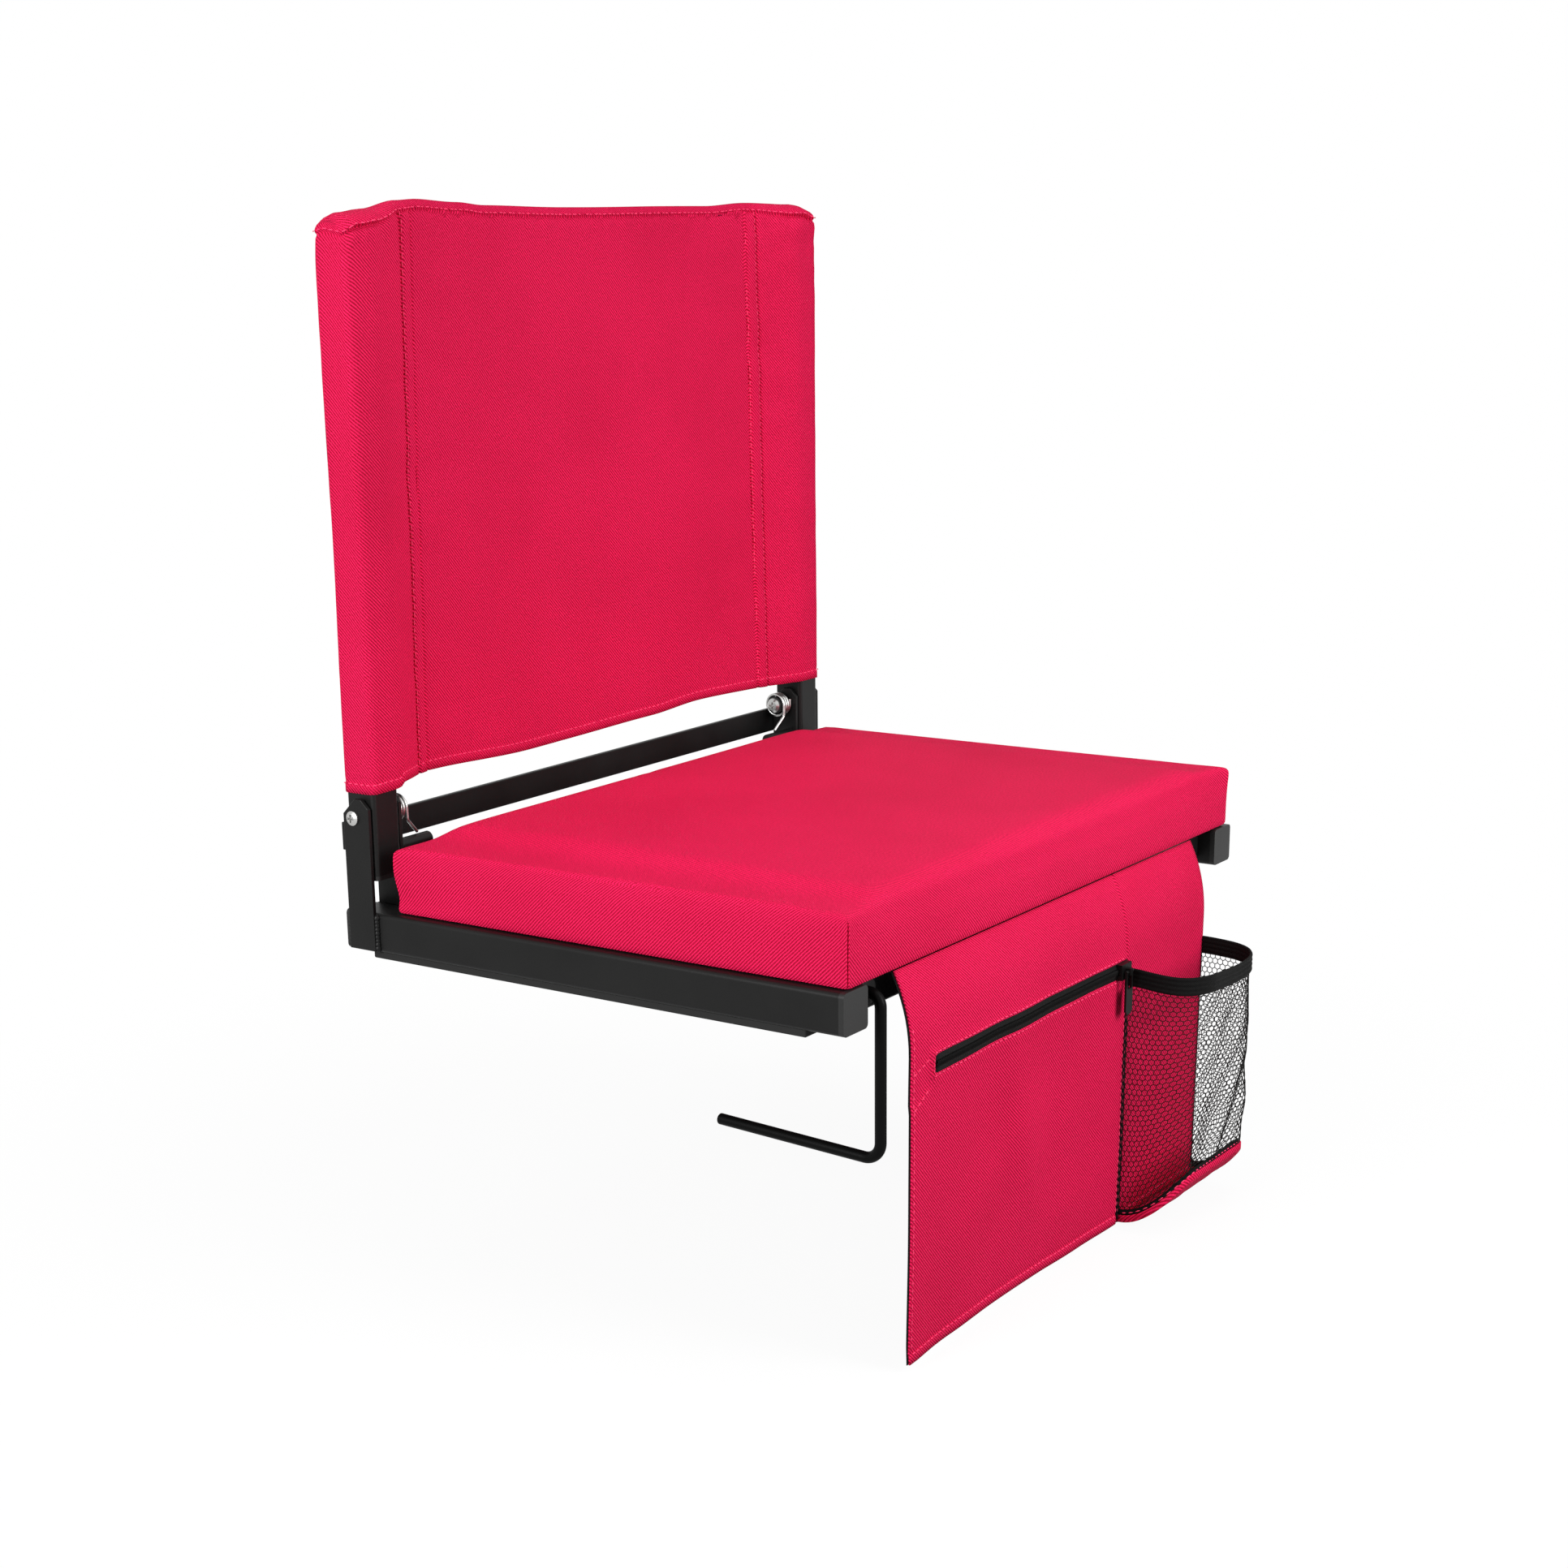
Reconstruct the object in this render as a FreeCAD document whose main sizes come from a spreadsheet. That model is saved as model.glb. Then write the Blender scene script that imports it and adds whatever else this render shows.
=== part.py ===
# Stadium seat: a folding bleacher seat, modelled as an assembly of separate pieces.
# Frame: +Z up, the front faces -Y, left is -X. The origin is the middle of the plane
# under the foot strips, where the seat rests on the bench. All sizes are in millimetres.
import FreeCAD
import Part
import Sketcher

import math
import os
import re

Vec = FreeCAD.Vector
doc = FreeCAD.newDocument("StadiumSeat")

# Driving sizes
SIZES = {
    "frame_width": 440,
    "rail_length": 323,
    "tube_width": 22,
    "tube_height": 22,
    "tube_wall": 1.5,
    "tube_corner": 2.5,
    "plug_head": 3,
    "plug_insert": 12,
    "plug_clearance": 0.1,
    "foot_thickness": 4,
    "foot_width": 18,
    "foot_inset": 23,
    "foot_rear_inset": 17,
    "foot_round": 1,
    "crossbar_height": 19,
    "crossbar_depth": 19,
    "crossbar_wall": 1.5,
    "crossbar_corner": 2,
    "front_setback": 11,
    "rear_crossbar_from_rear": 54,
    "pivot_from_rear": 11.5,
    "pivot_height": 74.5,
    "strap_thickness": 2.5,
    "strap_ahead": 11,
    "strap_behind": 7.3,
    "strap_foot": 1,
    "strap_top": 10.5,
    "strap_front_chamfer": 5,
    "strap_rear_chamfer": 8.5,
    "strap_edge": 0.4,
    "weld_radius": 2.6,
    "weld_length": 19,
    "upright_width": 20,
    "upright_depth": 20,
    "upright_wall": 1.5,
    "upright_corner": 2.5,
    "upright_drop": 32,
    "upright_rise": 298.5,
    "upright_plug_head": 2.5,
    "stop_gap": 0.2,
    "back_bar_overhang": 1,
    "back_bar_height": 15.5,
    "back_bar_edge": 0.6,
    "back_bar_thickness": 3,
    "back_bar_drop": 19,
    "running_clearance": 0.05,
    "side_play": 0.1,
    "barrel_radius": 3,
    "barrel_head_radius": 4,
    "barrel_head_height": 2.2,
    "barrel_bore": 14,
    "screw_radius": 2,
    "screw_head_radius": 4.75,
    "screw_head_height": 2.6,
    "screw_reach": 12,
    "recess_arm": 2.3,
    "recess_half_width": 0.55,
    "recess_depth": 1.5,
    "washer_radius": 7.5,
    "spring_wire": 1.8,
    "spring_mean_radius": 7,
    "spring_pitch": 2.3,
    "spring_turns": 3,
    "spring_clearance": 0.5,
    "spring_leg": 7,
    "spring_bend": 3,
    "spring_end_inward": 17.5,
    "pin_radius": 4,
    "pin_length": 27,
    "pin_end_chamfer": 0.8,
    "pin_ahead": 5.5,
    "pin_below": 20.5,
    "board_thickness": 6,
    "board_side_margin": 14.5,
    "board_end_margin": 11.5,
    "under_cover_thickness": 0.6,
    "board_clearance": 0.3,
    "cushion_front": 0.8,
    "cushion_side_inset": 5.5,
    "cushion_rear_gap": 21.7,
    "cushion_height": 35.5,
    "cushion_crown": 6,
    "cushion_corner": 5,
    "cushion_draw": 2,
    "cushion_underside_inset": 1,
    "cushion_edge_inset": 6,
    "seat_screw_radius": 2.1,
    "seat_screw_head_radius": 4,
    "seat_screw_head_height": 2.2,
    "seat_screw_inset": 80,
    "screw_hole_clearance": 0.2,
    "hook_rod": 6,
    "hook_from_side": 37,
    "hook_end_round": 1,
    "hook_axis_height": 13,
    "hook_leg_setback": 2,
    "hook_top_bend": 7,
    "hook_low_bend": 9,
    "hook_drop": 86.4,
    "hook_tip": 100,
    "hook_tilt": 2.6,
    "bushing_radius": 4.5,
    "bushing_flange": 7.5,
    "bushing_flange_thickness": 1.5,
    "bushing_reach": 4,
    "hook_washer_radius": 7,
    "hook_washer_thickness": 1,
    "push_nut_radius": 6.5,
    "push_nut_length": 6,
    "hook_tail": 1.5,
    "sleeve_wall": 1,
    "sleeve_clearance": 0.3,
    "sleeve_corner": 3,
    "sleeve_channel_corner": 2,
    "sleeve_bottom_rise": 13.5,
    "sleeve_top_gap": 18,
    "sleeve_cap": 1.6,
    "sleeve_seam_inset": 46,
    "sleeve_seam_allowance": 12,
    "sleeve_panel": 2.4,
    "sleeve_panel_back": 0.5,
    "sleeve_bow": 5,
    "flap_left_inset": 48,
    "flap_right_inset": 54,
    "flap_top_setback": 0,
    "flap_top": 21.65,
    "flap_shoulder_out": 9.2,
    "flap_shoulder_drop": 22,
    "flap_hem_out": 6.5,
    "flap_hem_drop": 186,
    "flap_thickness": 1,
    "lining_thickness": 0.6,
    "layer_gap": 0.1,
    "fold_depth": 3,
    "zip_left_inset": 22,
    "zip_right_gap": 3.5,
    "zip_drop": 30,
    "zip_tape_height": 12,
    "zip_tape_thickness": 0.8,
    "zip_tape_gap": 0.3,
    "coil_height": 3,
    "coil_depth": 1.6,
    "coil_gap": 0.1,
    "slider_length": 12,
    "slider_height": 9,
    "slider_depth": 3.3,
    "slider_wall_gap": 0.3,
    "slider_end_gap": 8,
    "lug_width": 3,
    "lug_height": 4,
    "lug_depth": 3,
    "pull_pin_radius": 1,
    "pull_pin_out": 1.4,
    "pull_width": 8,
    "pull_length": 25,
    "pull_thickness": 1.2,
    "pull_slot_width": 4.4,
    "pull_slot_end": 10,
    "pocket_width": 98.5,
    "pocket_right_inset": 1,
    "pocket_mouth_depth": 44,
    "pocket_base_depth": 30,
    "pocket_left_corner": 24,
    "pocket_right_corner": 18,
    "pocket_gap": 0.15,
    "band_top": 35,
    "band_height": 13,
    "band_thickness": 2,
    "mesh_thickness": 1,
    "pocket_front_rise": 21,
    "pocket_back_rise": 3,
    "pocket_base_thickness": 1.4,
    "binding_width": 3,
    "binding_thickness": 1.2,
}

# Levels and positions that follow from the driving sizes
PLACES = {
    "foot_length": "rail_length - foot_inset - foot_rear_inset",
    "pivot_from_front": "rail_length - pivot_from_rear",
    "rear_setback": "rail_length - rear_crossbar_from_rear - crossbar_depth",
    "cushion_width": "frame_width - 2 * cushion_side_inset",
    "cushion_length": "pivot_from_front - cushion_front - cushion_rear_gap",
    "board_width": "cushion_width - 2 * board_side_margin",
    "board_length": "cushion_length - 2 * board_end_margin",
    "board_front": "cushion_front + board_end_margin",
    "back_bar_width": "frame_width + 2 * back_bar_overhang",
    "hook_offset": "frame_width / 2 - hook_from_side",
    "seat_screw_spacing": "frame_width - 2 * seat_screw_inset",
    "sleeve_seam": "rail_axis_x - sleeve_seam_inset",
    "sleeve_top_rise": "upright_rise + upright_plug_head + sleeve_top_gap",
    "flap_left": "frame_width / 2 - flap_left_inset",
    "flap_right": "frame_width / 2 - flap_right_inset",
    "pocket_right": "flap_right - pocket_right_inset",
    "pocket_left": "pocket_right - pocket_width",
    "zip_left": "flap_left - zip_left_inset",
    "zip_right": "pocket_left - zip_right_gap",
    "slider_rest": "zip_right - slider_end_gap",
    "board_base": "rail_top + under_cover_thickness",
    "pocket_front_drop": "flap_hem_drop - pocket_front_rise",
    "pocket_back_drop": "flap_hem_drop - pocket_back_rise",
    "rail_front": "-(foot_inset + foot_length / 2)",
    "rail_middle": "rail_front + rail_length / 2",
    "rail_base": "foot_thickness",
    "rail_top": "rail_base + tube_height",
    "rail_axis_x": "frame_width / 2 - tube_width / 2",
    "rail_outer_x": "frame_width / 2",
    "rail_inner_x": "frame_width / 2 - tube_width",
    "crossbar_axis_z": "rail_top - crossbar_height / 2",
    "front_crossbar_y": "rail_front + front_setback + crossbar_depth / 2",
    "rear_crossbar_y": "rail_front + rear_setback + crossbar_depth / 2",
    "pivot_y": "rail_front + pivot_from_front",
    "pivot_z": "rail_base + pivot_height",
    "strap_drop": "pivot_height - strap_foot",
    "back_behind": "strap_behind + stop_gap",
    "hinge_stack": "tube_width + 2 * strap_thickness",
    "washer_thickness": "(tube_width - upright_width) / 2 - side_play",
    "inner_strap_face": "rail_inner_x - strap_thickness",
    "coil_length": "spring_pitch * spring_turns + spring_wire + spring_clearance",
    "hub_radius": "spring_mean_radius - spring_wire / 2 - 0.5",
    "hook_axis_z": "rail_base + hook_axis_height",
    "hook_rear_y": "rail_front + front_setback + crossbar_depth + hook_tail_run",
    "hook_tail_run": "bushing_flange_thickness + side_play + hook_washer_thickness + push_nut_length + hook_tail",
    "zip_tilt_out": "(flap_shoulder_out - flap_hem_out) / (flap_hem_drop - flap_shoulder_drop)",
    "zip_face_out": "flap_shoulder_out - (zip_drop - flap_shoulder_drop) * zip_tilt_out",
    "zip_front_y": "rail_front - zip_face_out - zip_tape_gap - zip_tape_thickness",
    "zip_z": "rail_base - zip_drop",
}

sizes = doc.addObject("Spreadsheet::Sheet", "Sizes")
for row, alias in enumerate(SIZES, start=1):
    sizes.set("A%d" % row, alias)
    sizes.set("B%d" % row, str(SIZES[alias]))
    sizes.setAlias("B%d" % row, alias)
doc.recompute()


def full_name(match):
    word = match.group(0)
    if word in SIZES:
        return "Sizes." + word
    if word in PLACES:
        return "Places." + word
    return word


def linked(text):
    return re.sub(r"[a-z][a-z_]+", full_name, text)


places = doc.addObject("Spreadsheet::Sheet", "Places")
for row, alias in enumerate(PLACES, start=1):
    places.set("A%d" % row, alias)
    places.setAlias("B%d" % row, alias)
for row, alias in enumerate(PLACES, start=1):
    places.set("B%d" % row, "=" + linked(PLACES[alias]).replace("Places.", ""))
doc.recompute()


def value(alias):
    sheet = sizes if alias in SIZES else places
    return float(sheet.get(alias))


NODES = []


def keep(obj, label):
    obj.Label = label
    NODES.append(obj)
    return obj


def put(obj, x, y, z, axis=None, angle=0):
    if axis is not None:
        obj.Placement = FreeCAD.Placement(Vec(0, 0, 0), FreeCAD.Rotation(axis, angle))
    for letter, text in zip("xyz", (x, y, z)):
        obj.setExpression("Placement.Base." + letter, linked(text))
    return obj


def new_body(name):
    return doc.addObject("PartDesign::Body", name)


def sketch_on(body, role):
    sketch = body.newObject("Sketcher::SketchObject", "Sketch")
    planes = [plane for plane in body.Origin.OriginFeatures if plane.Role == role]
    sketch.AttachmentSupport = [(planes[0], "")]
    sketch.MapMode = "FlatFace"
    return sketch


# A closed outline: the lines start on a ring and the named sizes pull each corner into place.
def outline(sketch, corners, ring=10):
    first = sketch.GeometryCount
    count = len(corners)
    ring_points = []
    for index in range(count):
        turn = 2 * math.pi * index / count
        ring_points.append(Vec(ring * math.cos(turn), ring * math.sin(turn), 0))
    for index in range(count):
        line = Part.LineSegment(ring_points[index], ring_points[(index + 1) % count])
        sketch.addGeometry(line, False)
    for index in range(count):
        after = first + (index + 1) % count
        sketch.addConstraint(Sketcher.Constraint("Coincident", first + index, 2, after, 1))
    for index, (across, along) in enumerate(corners):
        point = ring_points[index]
        number = sketch.addConstraint(
            Sketcher.Constraint("DistanceX", -1, 1, first + index, 1, point.x))
        sketch.setExpression("Constraints[%d]" % number, linked(across))
        number = sketch.addConstraint(
            Sketcher.Constraint("DistanceY", -1, 1, first + index, 1, point.y))
        sketch.setExpression("Constraints[%d]" % number, linked(along))


def rectangle(sketch, half_across, half_along, ring=10):
    a = half_across
    b = half_along
    outline(sketch, [("-(%s)" % a, "-(%s)" % b), (a, "-(%s)" % b), (a, b), ("-(%s)" % a, b)], ring)


def circle(sketch, across, along, radius):
    index = sketch.addGeometry(Part.Circle(Vec(1, 1, 0), Vec(0, 0, 1), 1), False)
    number = sketch.addConstraint(Sketcher.Constraint("DistanceX", -1, 1, index, 3, 1))
    sketch.setExpression("Constraints[%d]" % number, linked(across))
    number = sketch.addConstraint(Sketcher.Constraint("DistanceY", -1, 1, index, 3, 1))
    sketch.setExpression("Constraints[%d]" % number, linked(along))
    number = sketch.addConstraint(Sketcher.Constraint("Radius", index, 1))
    sketch.setExpression("Constraints[%d]" % number, linked(radius))


def pad_both(body, sketch, length):
    feature = body.newObject("PartDesign::Pad", "Pad")
    feature.Profile = sketch
    feature.SideType = "Symmetric"
    feature.setExpression("Length", linked(length))
    return feature


def pad_one(body, sketch, length, backwards):
    feature = body.newObject("PartDesign::Pad", "Pad")
    feature.Profile = sketch
    feature.Reversed = backwards
    feature.setExpression("Length", linked(length))
    return feature


def pocket_both(body, sketch, length):
    feature = body.newObject("PartDesign::Pocket", "Pocket")
    feature.Profile = sketch
    feature.SideType = "Symmetric"
    feature.setExpression("Length", linked(length))
    return feature


# Rounds the outer long edges of a tube or plug; the axis is the direction of those edges.
def round_long_edges(body, feature, axis, radius, reach):
    doc.recompute()
    names = []
    middle = feature.Shape.BoundBox.Center
    for index, edge in enumerate(feature.Shape.Edges, start=1):
        ends = edge.lastVertex().Point - edge.firstVertex().Point
        away = edge.CenterOfMass - middle
        away = away - axis * away.dot(axis)
        if ends.Length > 0 and abs(ends.normalize().dot(axis)) > 0.999 and away.Length > reach:
            names.append("Edge%d" % index)
    rounding = body.newObject("PartDesign::Fillet", "Fillet")
    rounding.Base = (feature, names)
    rounding.setExpression("Radius", linked(radius))
    return rounding


# A square tube along an axis, centred on its own origin
def tube(name, role, axis, across, along, wall, corner, length):
    body = new_body(name)
    sketch = sketch_on(body, role)
    rectangle(sketch, "%s / 2" % across, "%s / 2" % along)
    rectangle(sketch, "%s / 2 - %s" % (across, wall), "%s / 2 - %s" % (along, wall), 5)
    feature = pad_both(body, sketch, length)
    reach = math.hypot(value(across), value(along)) / 2 - 0.5
    round_long_edges(body, feature, axis, corner, reach)
    return body


# A solid of revolution about its own X axis from a half outline
def turned(name, corners):
    body = new_body(name)
    sketch = sketch_on(body, "XY_Plane")
    outline(sketch, corners)
    feature = body.newObject("PartDesign::Revolution", "Revolution")
    feature.Profile = sketch
    feature.ReferenceAxis = (sketch, ["H_Axis"])
    feature.Angle = 360
    return body


def ring_corners(start, end, inner, outer):
    return [(start, inner), (end, inner), (end, outer), (start, outer)]


# An end plug: a head the size of the tube and an insert inside its walls
def plug(name, role, axis, across, along, wall, corner, head, backwards):
    body = new_body(name)
    sketch = sketch_on(body, role)
    rectangle(sketch, "%s / 2" % across, "%s / 2" % along)
    feature = pad_both(body, sketch, head)
    reach = math.hypot(value(across), value(along)) / 2 - 0.5
    round_long_edges(body, feature, axis, corner, reach)
    sketch = sketch_on(body, role)
    inside = "%s / 2 - %s - plug_clearance"
    rectangle(sketch, inside % (across, wall), inside % (along, wall))
    pad_one(body, sketch, "plug_insert + %s / 2" % head, backwards)
    return body


def box(name, length, width, height, x, y, z):
    obj = doc.addObject("Part::Box", name)
    obj.setExpression("Length", linked(length))
    obj.setExpression("Width", linked(width))
    obj.setExpression("Height", linked(height))
    return put(obj, x, y, z)


def cylinder(name, radius, height, x, y, z, axis=None, angle=0):
    obj = doc.addObject("Part::Cylinder", name)
    obj.setExpression("Radius", linked(radius))
    obj.setExpression("Height", linked(height))
    return put(obj, x, y, z, axis, angle)


def cut(name, base, tool):
    obj = doc.addObject("Part::Cut", name)
    obj.Base = base
    obj.Tool = tool
    return obj


def rounded(name, base, radius, wanted):
    doc.recompute()
    size = value(radius)
    obj = doc.addObject("Part::Fillet", name)
    obj.Base = base
    edges = enumerate(base.Shape.Edges, start=1)
    obj.Edges = [(index, size, size) for index, edge in edges if wanted(edge)]
    return obj


def together(name, members):
    obj = doc.addObject("Part::Compound", name)
    obj.Links = members
    return obj


def made(name, shape):
    obj = doc.addObject("Part::Feature", name)
    obj.Shape = shape
    return obj


X_AXIS = Vec(1, 0, 0)
Y_AXIS = Vec(0, 1, 0)
Z_AXIS = Vec(0, 0, 1)
SIDES = (("left", -1), ("right", 1))


def side_x(sign, text):
    return "-(%s)" % text if sign < 0 else text


def below_the_top(edge):
    return edge.CenterOfMass.z < value("foot_thickness") - 0.01


def every_edge(edge):
    return True


# Side rails, their plugs and their rubber feet
front_plugs = []
rear_plugs = []
for side, sign in SIDES:
    rail = tube(side + "_rail", "XZ_Plane", Y_AXIS, "tube_width", "tube_height", "tube_wall",
                "tube_corner", "rail_length - 2 * plug_head")
    put(rail, side_x(sign, "rail_axis_x"), "rail_middle", "rail_base + tube_height / 2")
    keep(rail, side + "_rail")
    for ends, y, backwards in (
            (front_plugs, "rail_front + plug_head / 2", True),
            (rear_plugs, "rail_front + rail_length - plug_head / 2", False)):
        cap = plug("rail_plug", "XZ_Plane", Y_AXIS, "tube_width", "tube_height", "tube_wall",
                   "tube_corner", "plug_head", backwards)
        put(cap, side_x(sign, "rail_axis_x"), y, "rail_base + tube_height / 2")
        ends.append(cap)
    foot = box(side + "_foot", "foot_width", "foot_length", "foot_thickness",
               side_x(sign, "rail_axis_x") + " - foot_width / 2", "-foot_length / 2", "0")
    keep(rounded(side + "_foot_round", foot, "foot_round", below_the_top), side + "_foot_strip")
keep(together("front_plugs", front_plugs), "front_rail_plugs")
keep(together("rear_plugs", rear_plugs), "rear_rail_plugs")

# Front and rear crossbars with the holes for the seat screws and the hook
for end in ("front", "rear"):
    bar = tube(end + "_crossbar", "YZ_Plane", X_AXIS, "crossbar_depth", "crossbar_height",
               "crossbar_wall", "crossbar_corner", "2 * rail_inner_x")
    holes = sketch_on(bar, "XY_Plane")
    for sign in (-1, 1):
        circle(holes, side_x(sign, "seat_screw_spacing / 2"), "0",
               "seat_screw_radius + screw_hole_clearance")
    pocket_both(bar, holes, "2 * crossbar_height")
    if end == "front":
        hook_hole = sketch_on(bar, "XZ_Plane")
        circle(hook_hole, "-hook_offset", "hook_axis_z - crossbar_axis_z",
               "bushing_radius + running_clearance")
        pocket_both(bar, hook_hole, "2 * crossbar_depth")
    put(bar, "0", end + "_crossbar_y", "crossbar_axis_z")
    keep(bar, end + "_crossbar")

# Hinge straps on both faces of each rail
for side, sign in SIDES:
    for face, x in (("outer", "rail_outer_x + strap_thickness / 2"),
                    ("inner", "rail_inner_x - strap_thickness / 2")):
        strap = new_body(side + "_" + face + "_strap")
        sketch = sketch_on(strap, "YZ_Plane")
        outline(sketch, [
            ("-strap_ahead", "-strap_drop"),
            ("strap_behind", "-strap_drop"),
            ("strap_behind", "strap_top - strap_rear_chamfer"),
            ("strap_behind - strap_rear_chamfer", "strap_top"),
            ("strap_front_chamfer - strap_ahead", "strap_top"),
            ("-strap_ahead", "strap_top - strap_front_chamfer"),
        ])
        circle(sketch, "0", "0", "barrel_radius + running_clearance")
        plate = pad_both(strap, sketch, "strap_thickness")
        doc.recompute()
        rims = []
        for index, edge in enumerate(plate.Shape.Edges, start=1):
            on_face = abs(abs(edge.CenterOfMass.x) - value("strap_thickness") / 2) < 0.01
            if on_face and len(edge.Vertexes) == 2:
                rims.append("Edge%d" % index)
        easing = strap.newObject("PartDesign::Fillet", "Fillet")
        easing.Base = (plate, rims)
        easing.setExpression("Radius", linked("strap_edge"))
        put(strap, side_x(sign, x), "pivot_y", "pivot_z")
        keep(strap, side + "_" + face + "_hinge_strap")

# Weld beads in the corners between straps and rails
beads = []
for sign in (-1, 1):
    for x, faces_out in (("rail_outer_x", sign), ("rail_inner_x", -sign)):
        for y, to_rear in (("pivot_y - strap_ahead", -1), ("pivot_y + strap_behind", 1)):
            turn = {(1, 1): 0, (-1, 1): 90, (-1, -1): 180, (1, -1): 270}[(faces_out, to_rear)]
            bead = cylinder("weld", "weld_radius", "weld_length", side_x(sign, x), y,
                            "rail_base + (tube_height - weld_length) / 2", Z_AXIS, turn)
            bead.Angle = 90
            beads.append(bead)
keep(together("welds", beads), "hinge_weld_beads")

# Spring anchor pins
for side, sign in SIDES:
    pin = turned(side + "_pin", [
        ("0", "0"),
        ("pin_length", "0"),
        ("pin_length", "pin_radius - pin_end_chamfer"),
        ("pin_length - pin_end_chamfer", "pin_radius"),
        ("0", "pin_radius"),
    ])
    put(pin, side_x(sign, "inner_strap_face"), "pivot_y - pin_ahead", "pivot_z - pin_below", Z_AXIS,
        0 if sign < 0 else 180)
    keep(pin, side + "_spring_anchor_pin")


# Two arcs that join two points with the given directions
def biarc(start, start_way, end, end_way):
    chord = end - start
    a = 2 * (1 - start_way.dot(end_way))
    b = 2 * chord.dot(start_way + end_way)
    c = -chord.dot(chord)
    reach = (-b + math.sqrt(b * b - 4 * a * c)) / (2 * a)
    first = start + start_way * reach
    second = end - end_way * reach
    joint = (first + second) * 0.5
    return [arc_by_corner(start, first, joint), arc_by_corner(joint, second, end)]


# The arc that touches both legs of a corner at its two ends
def arc_by_corner(start, corner, end):
    middle = (start + end) * 0.5
    half = (end - start).Length / 2
    rise = (corner - middle).Length
    lean = math.atan2(rise, half)
    top = middle + (corner - middle) * (math.tan(lean / 2) / math.tan(lean))
    return Part.Arc(start, top, end).toShape()


def straight(start, end):
    return Part.LineSegment(start, end).toShape()


# One torsion spring: a coil about the pivot with a leg that ends over the anchor pin.
# Its own frame has X inward from the strap and its origin on the pivot axis.
def spring_shape():
    wire = value("spring_wire")
    mean = value("spring_mean_radius")
    pitch = value("spring_pitch")
    steps = int(round(4 * value("spring_turns")))
    first_x = value("spring_clearance") + wire / 2
    drift = pitch / (2 * math.pi)

    def coil_point(turn):
        return Vec(first_x + drift * turn, -mean * math.cos(turn), -mean * math.sin(turn))

    def coil_way(turn):
        way = Vec(drift, mean * math.sin(turn), -mean * math.cos(turn))
        return way.normalize()

    edges = [straight(coil_point(0) - coil_way(0) * (2 * wire), coil_point(0))]
    samples = []
    for step in range(steps):
        here = math.pi / 2 * step
        there = math.pi / 2 * (step + 1)
        edges += biarc(coil_point(here), coil_way(here), coil_point(there), coil_way(there))
    last = math.pi / 2 * steps
    corner = coil_point(last) + coil_way(last) * value("spring_leg")
    over_pin = value("pin_radius") + wire / 2 + value("spring_clearance") - value("pin_below")
    tip = Vec(value("spring_end_inward"), -value("pin_ahead"), over_pin)
    onward = (tip - corner).normalize()
    between = coil_way(last).getAngle(onward)
    back_off = value("spring_bend") * math.tan(between / 2)
    bend_start = corner - coil_way(last) * back_off
    bend_end = corner + onward * back_off
    edges.append(straight(coil_point(last), bend_start))
    edges.append(arc_by_corner(bend_start, corner, bend_end))
    edges.append(straight(bend_end, tip))
    path = Part.Wire(edges)
    begin = coil_point(0) - coil_way(0) * (2 * wire)
    profile = Part.Wire([Part.Circle(begin, coil_way(0), wire / 2).toShape()])
    solid = path.makePipeShell([profile], True, False)
    for edge in edges:
        samples += edge.discretize(Distance=0.3) if edge.Length > 0.3 else []
    return solid, samples


spring, spring_points = spring_shape()
least = 99.0
for index, point in enumerate(spring_points):
    for other in spring_points[index + 40:]:
        least = min(least, (point - other).Length)
print("least gap between turns", round(least - value("spring_wire"), 3))
for side, sign in SIDES:
    shape = spring.copy()
    if sign > 0:
        shape = shape.mirror(Vec(0, 0, 0), X_AXIS)
    coil = made(side + "_spring", shape)
    put(coil, side_x(sign, "inner_strap_face"), "pivot_y", "pivot_z")
    keep(coil, side + "_torsion_spring")

# Seat board and the screws that hold it to the crossbars
board = box("board_blank", "board_width", "board_length", "board_thickness", "-board_width / 2",
            "rail_front + board_front", "board_base")
under = box("under_blank", "board_width", "board_length", "under_cover_thickness", "-board_width / 2",
            "rail_front + board_front", "rail_top")
drills = []
seat_screws = []
for sign in (-1, 1):
    for y in ("front_crossbar_y", "rear_crossbar_y"):
        x = side_x(sign, "seat_screw_spacing / 2")
        drills.append(cylinder("drill", "seat_screw_radius + running_clearance",
                               "3 * board_thickness", x, y, "rail_top - board_thickness"))
        screw = turned("seat_screw", [
            ("-seat_screw_head_height", "0"),
            ("crossbar_height + under_cover_thickness + board_thickness - 0.5", "0"),
            ("crossbar_height + under_cover_thickness + board_thickness - 0.5", "seat_screw_radius"),
            ("0", "seat_screw_radius"),
            ("0", "seat_screw_head_radius"),
            ("-seat_screw_head_height / 2", "seat_screw_head_radius"),
            ("-seat_screw_head_height", "seat_screw_head_radius - 1.2"),
        ])
        put(screw, x, y, "rail_top - crossbar_height", Y_AXIS, -90)
        seat_screws.append(screw)
drilled = together("drills", drills)
keep(cut("board", board, drilled), "seat_board")
keep(cut("under", under, drilled), "cushion_under_cover")
keep(together("screws", seat_screws), "seat_screws")


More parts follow.
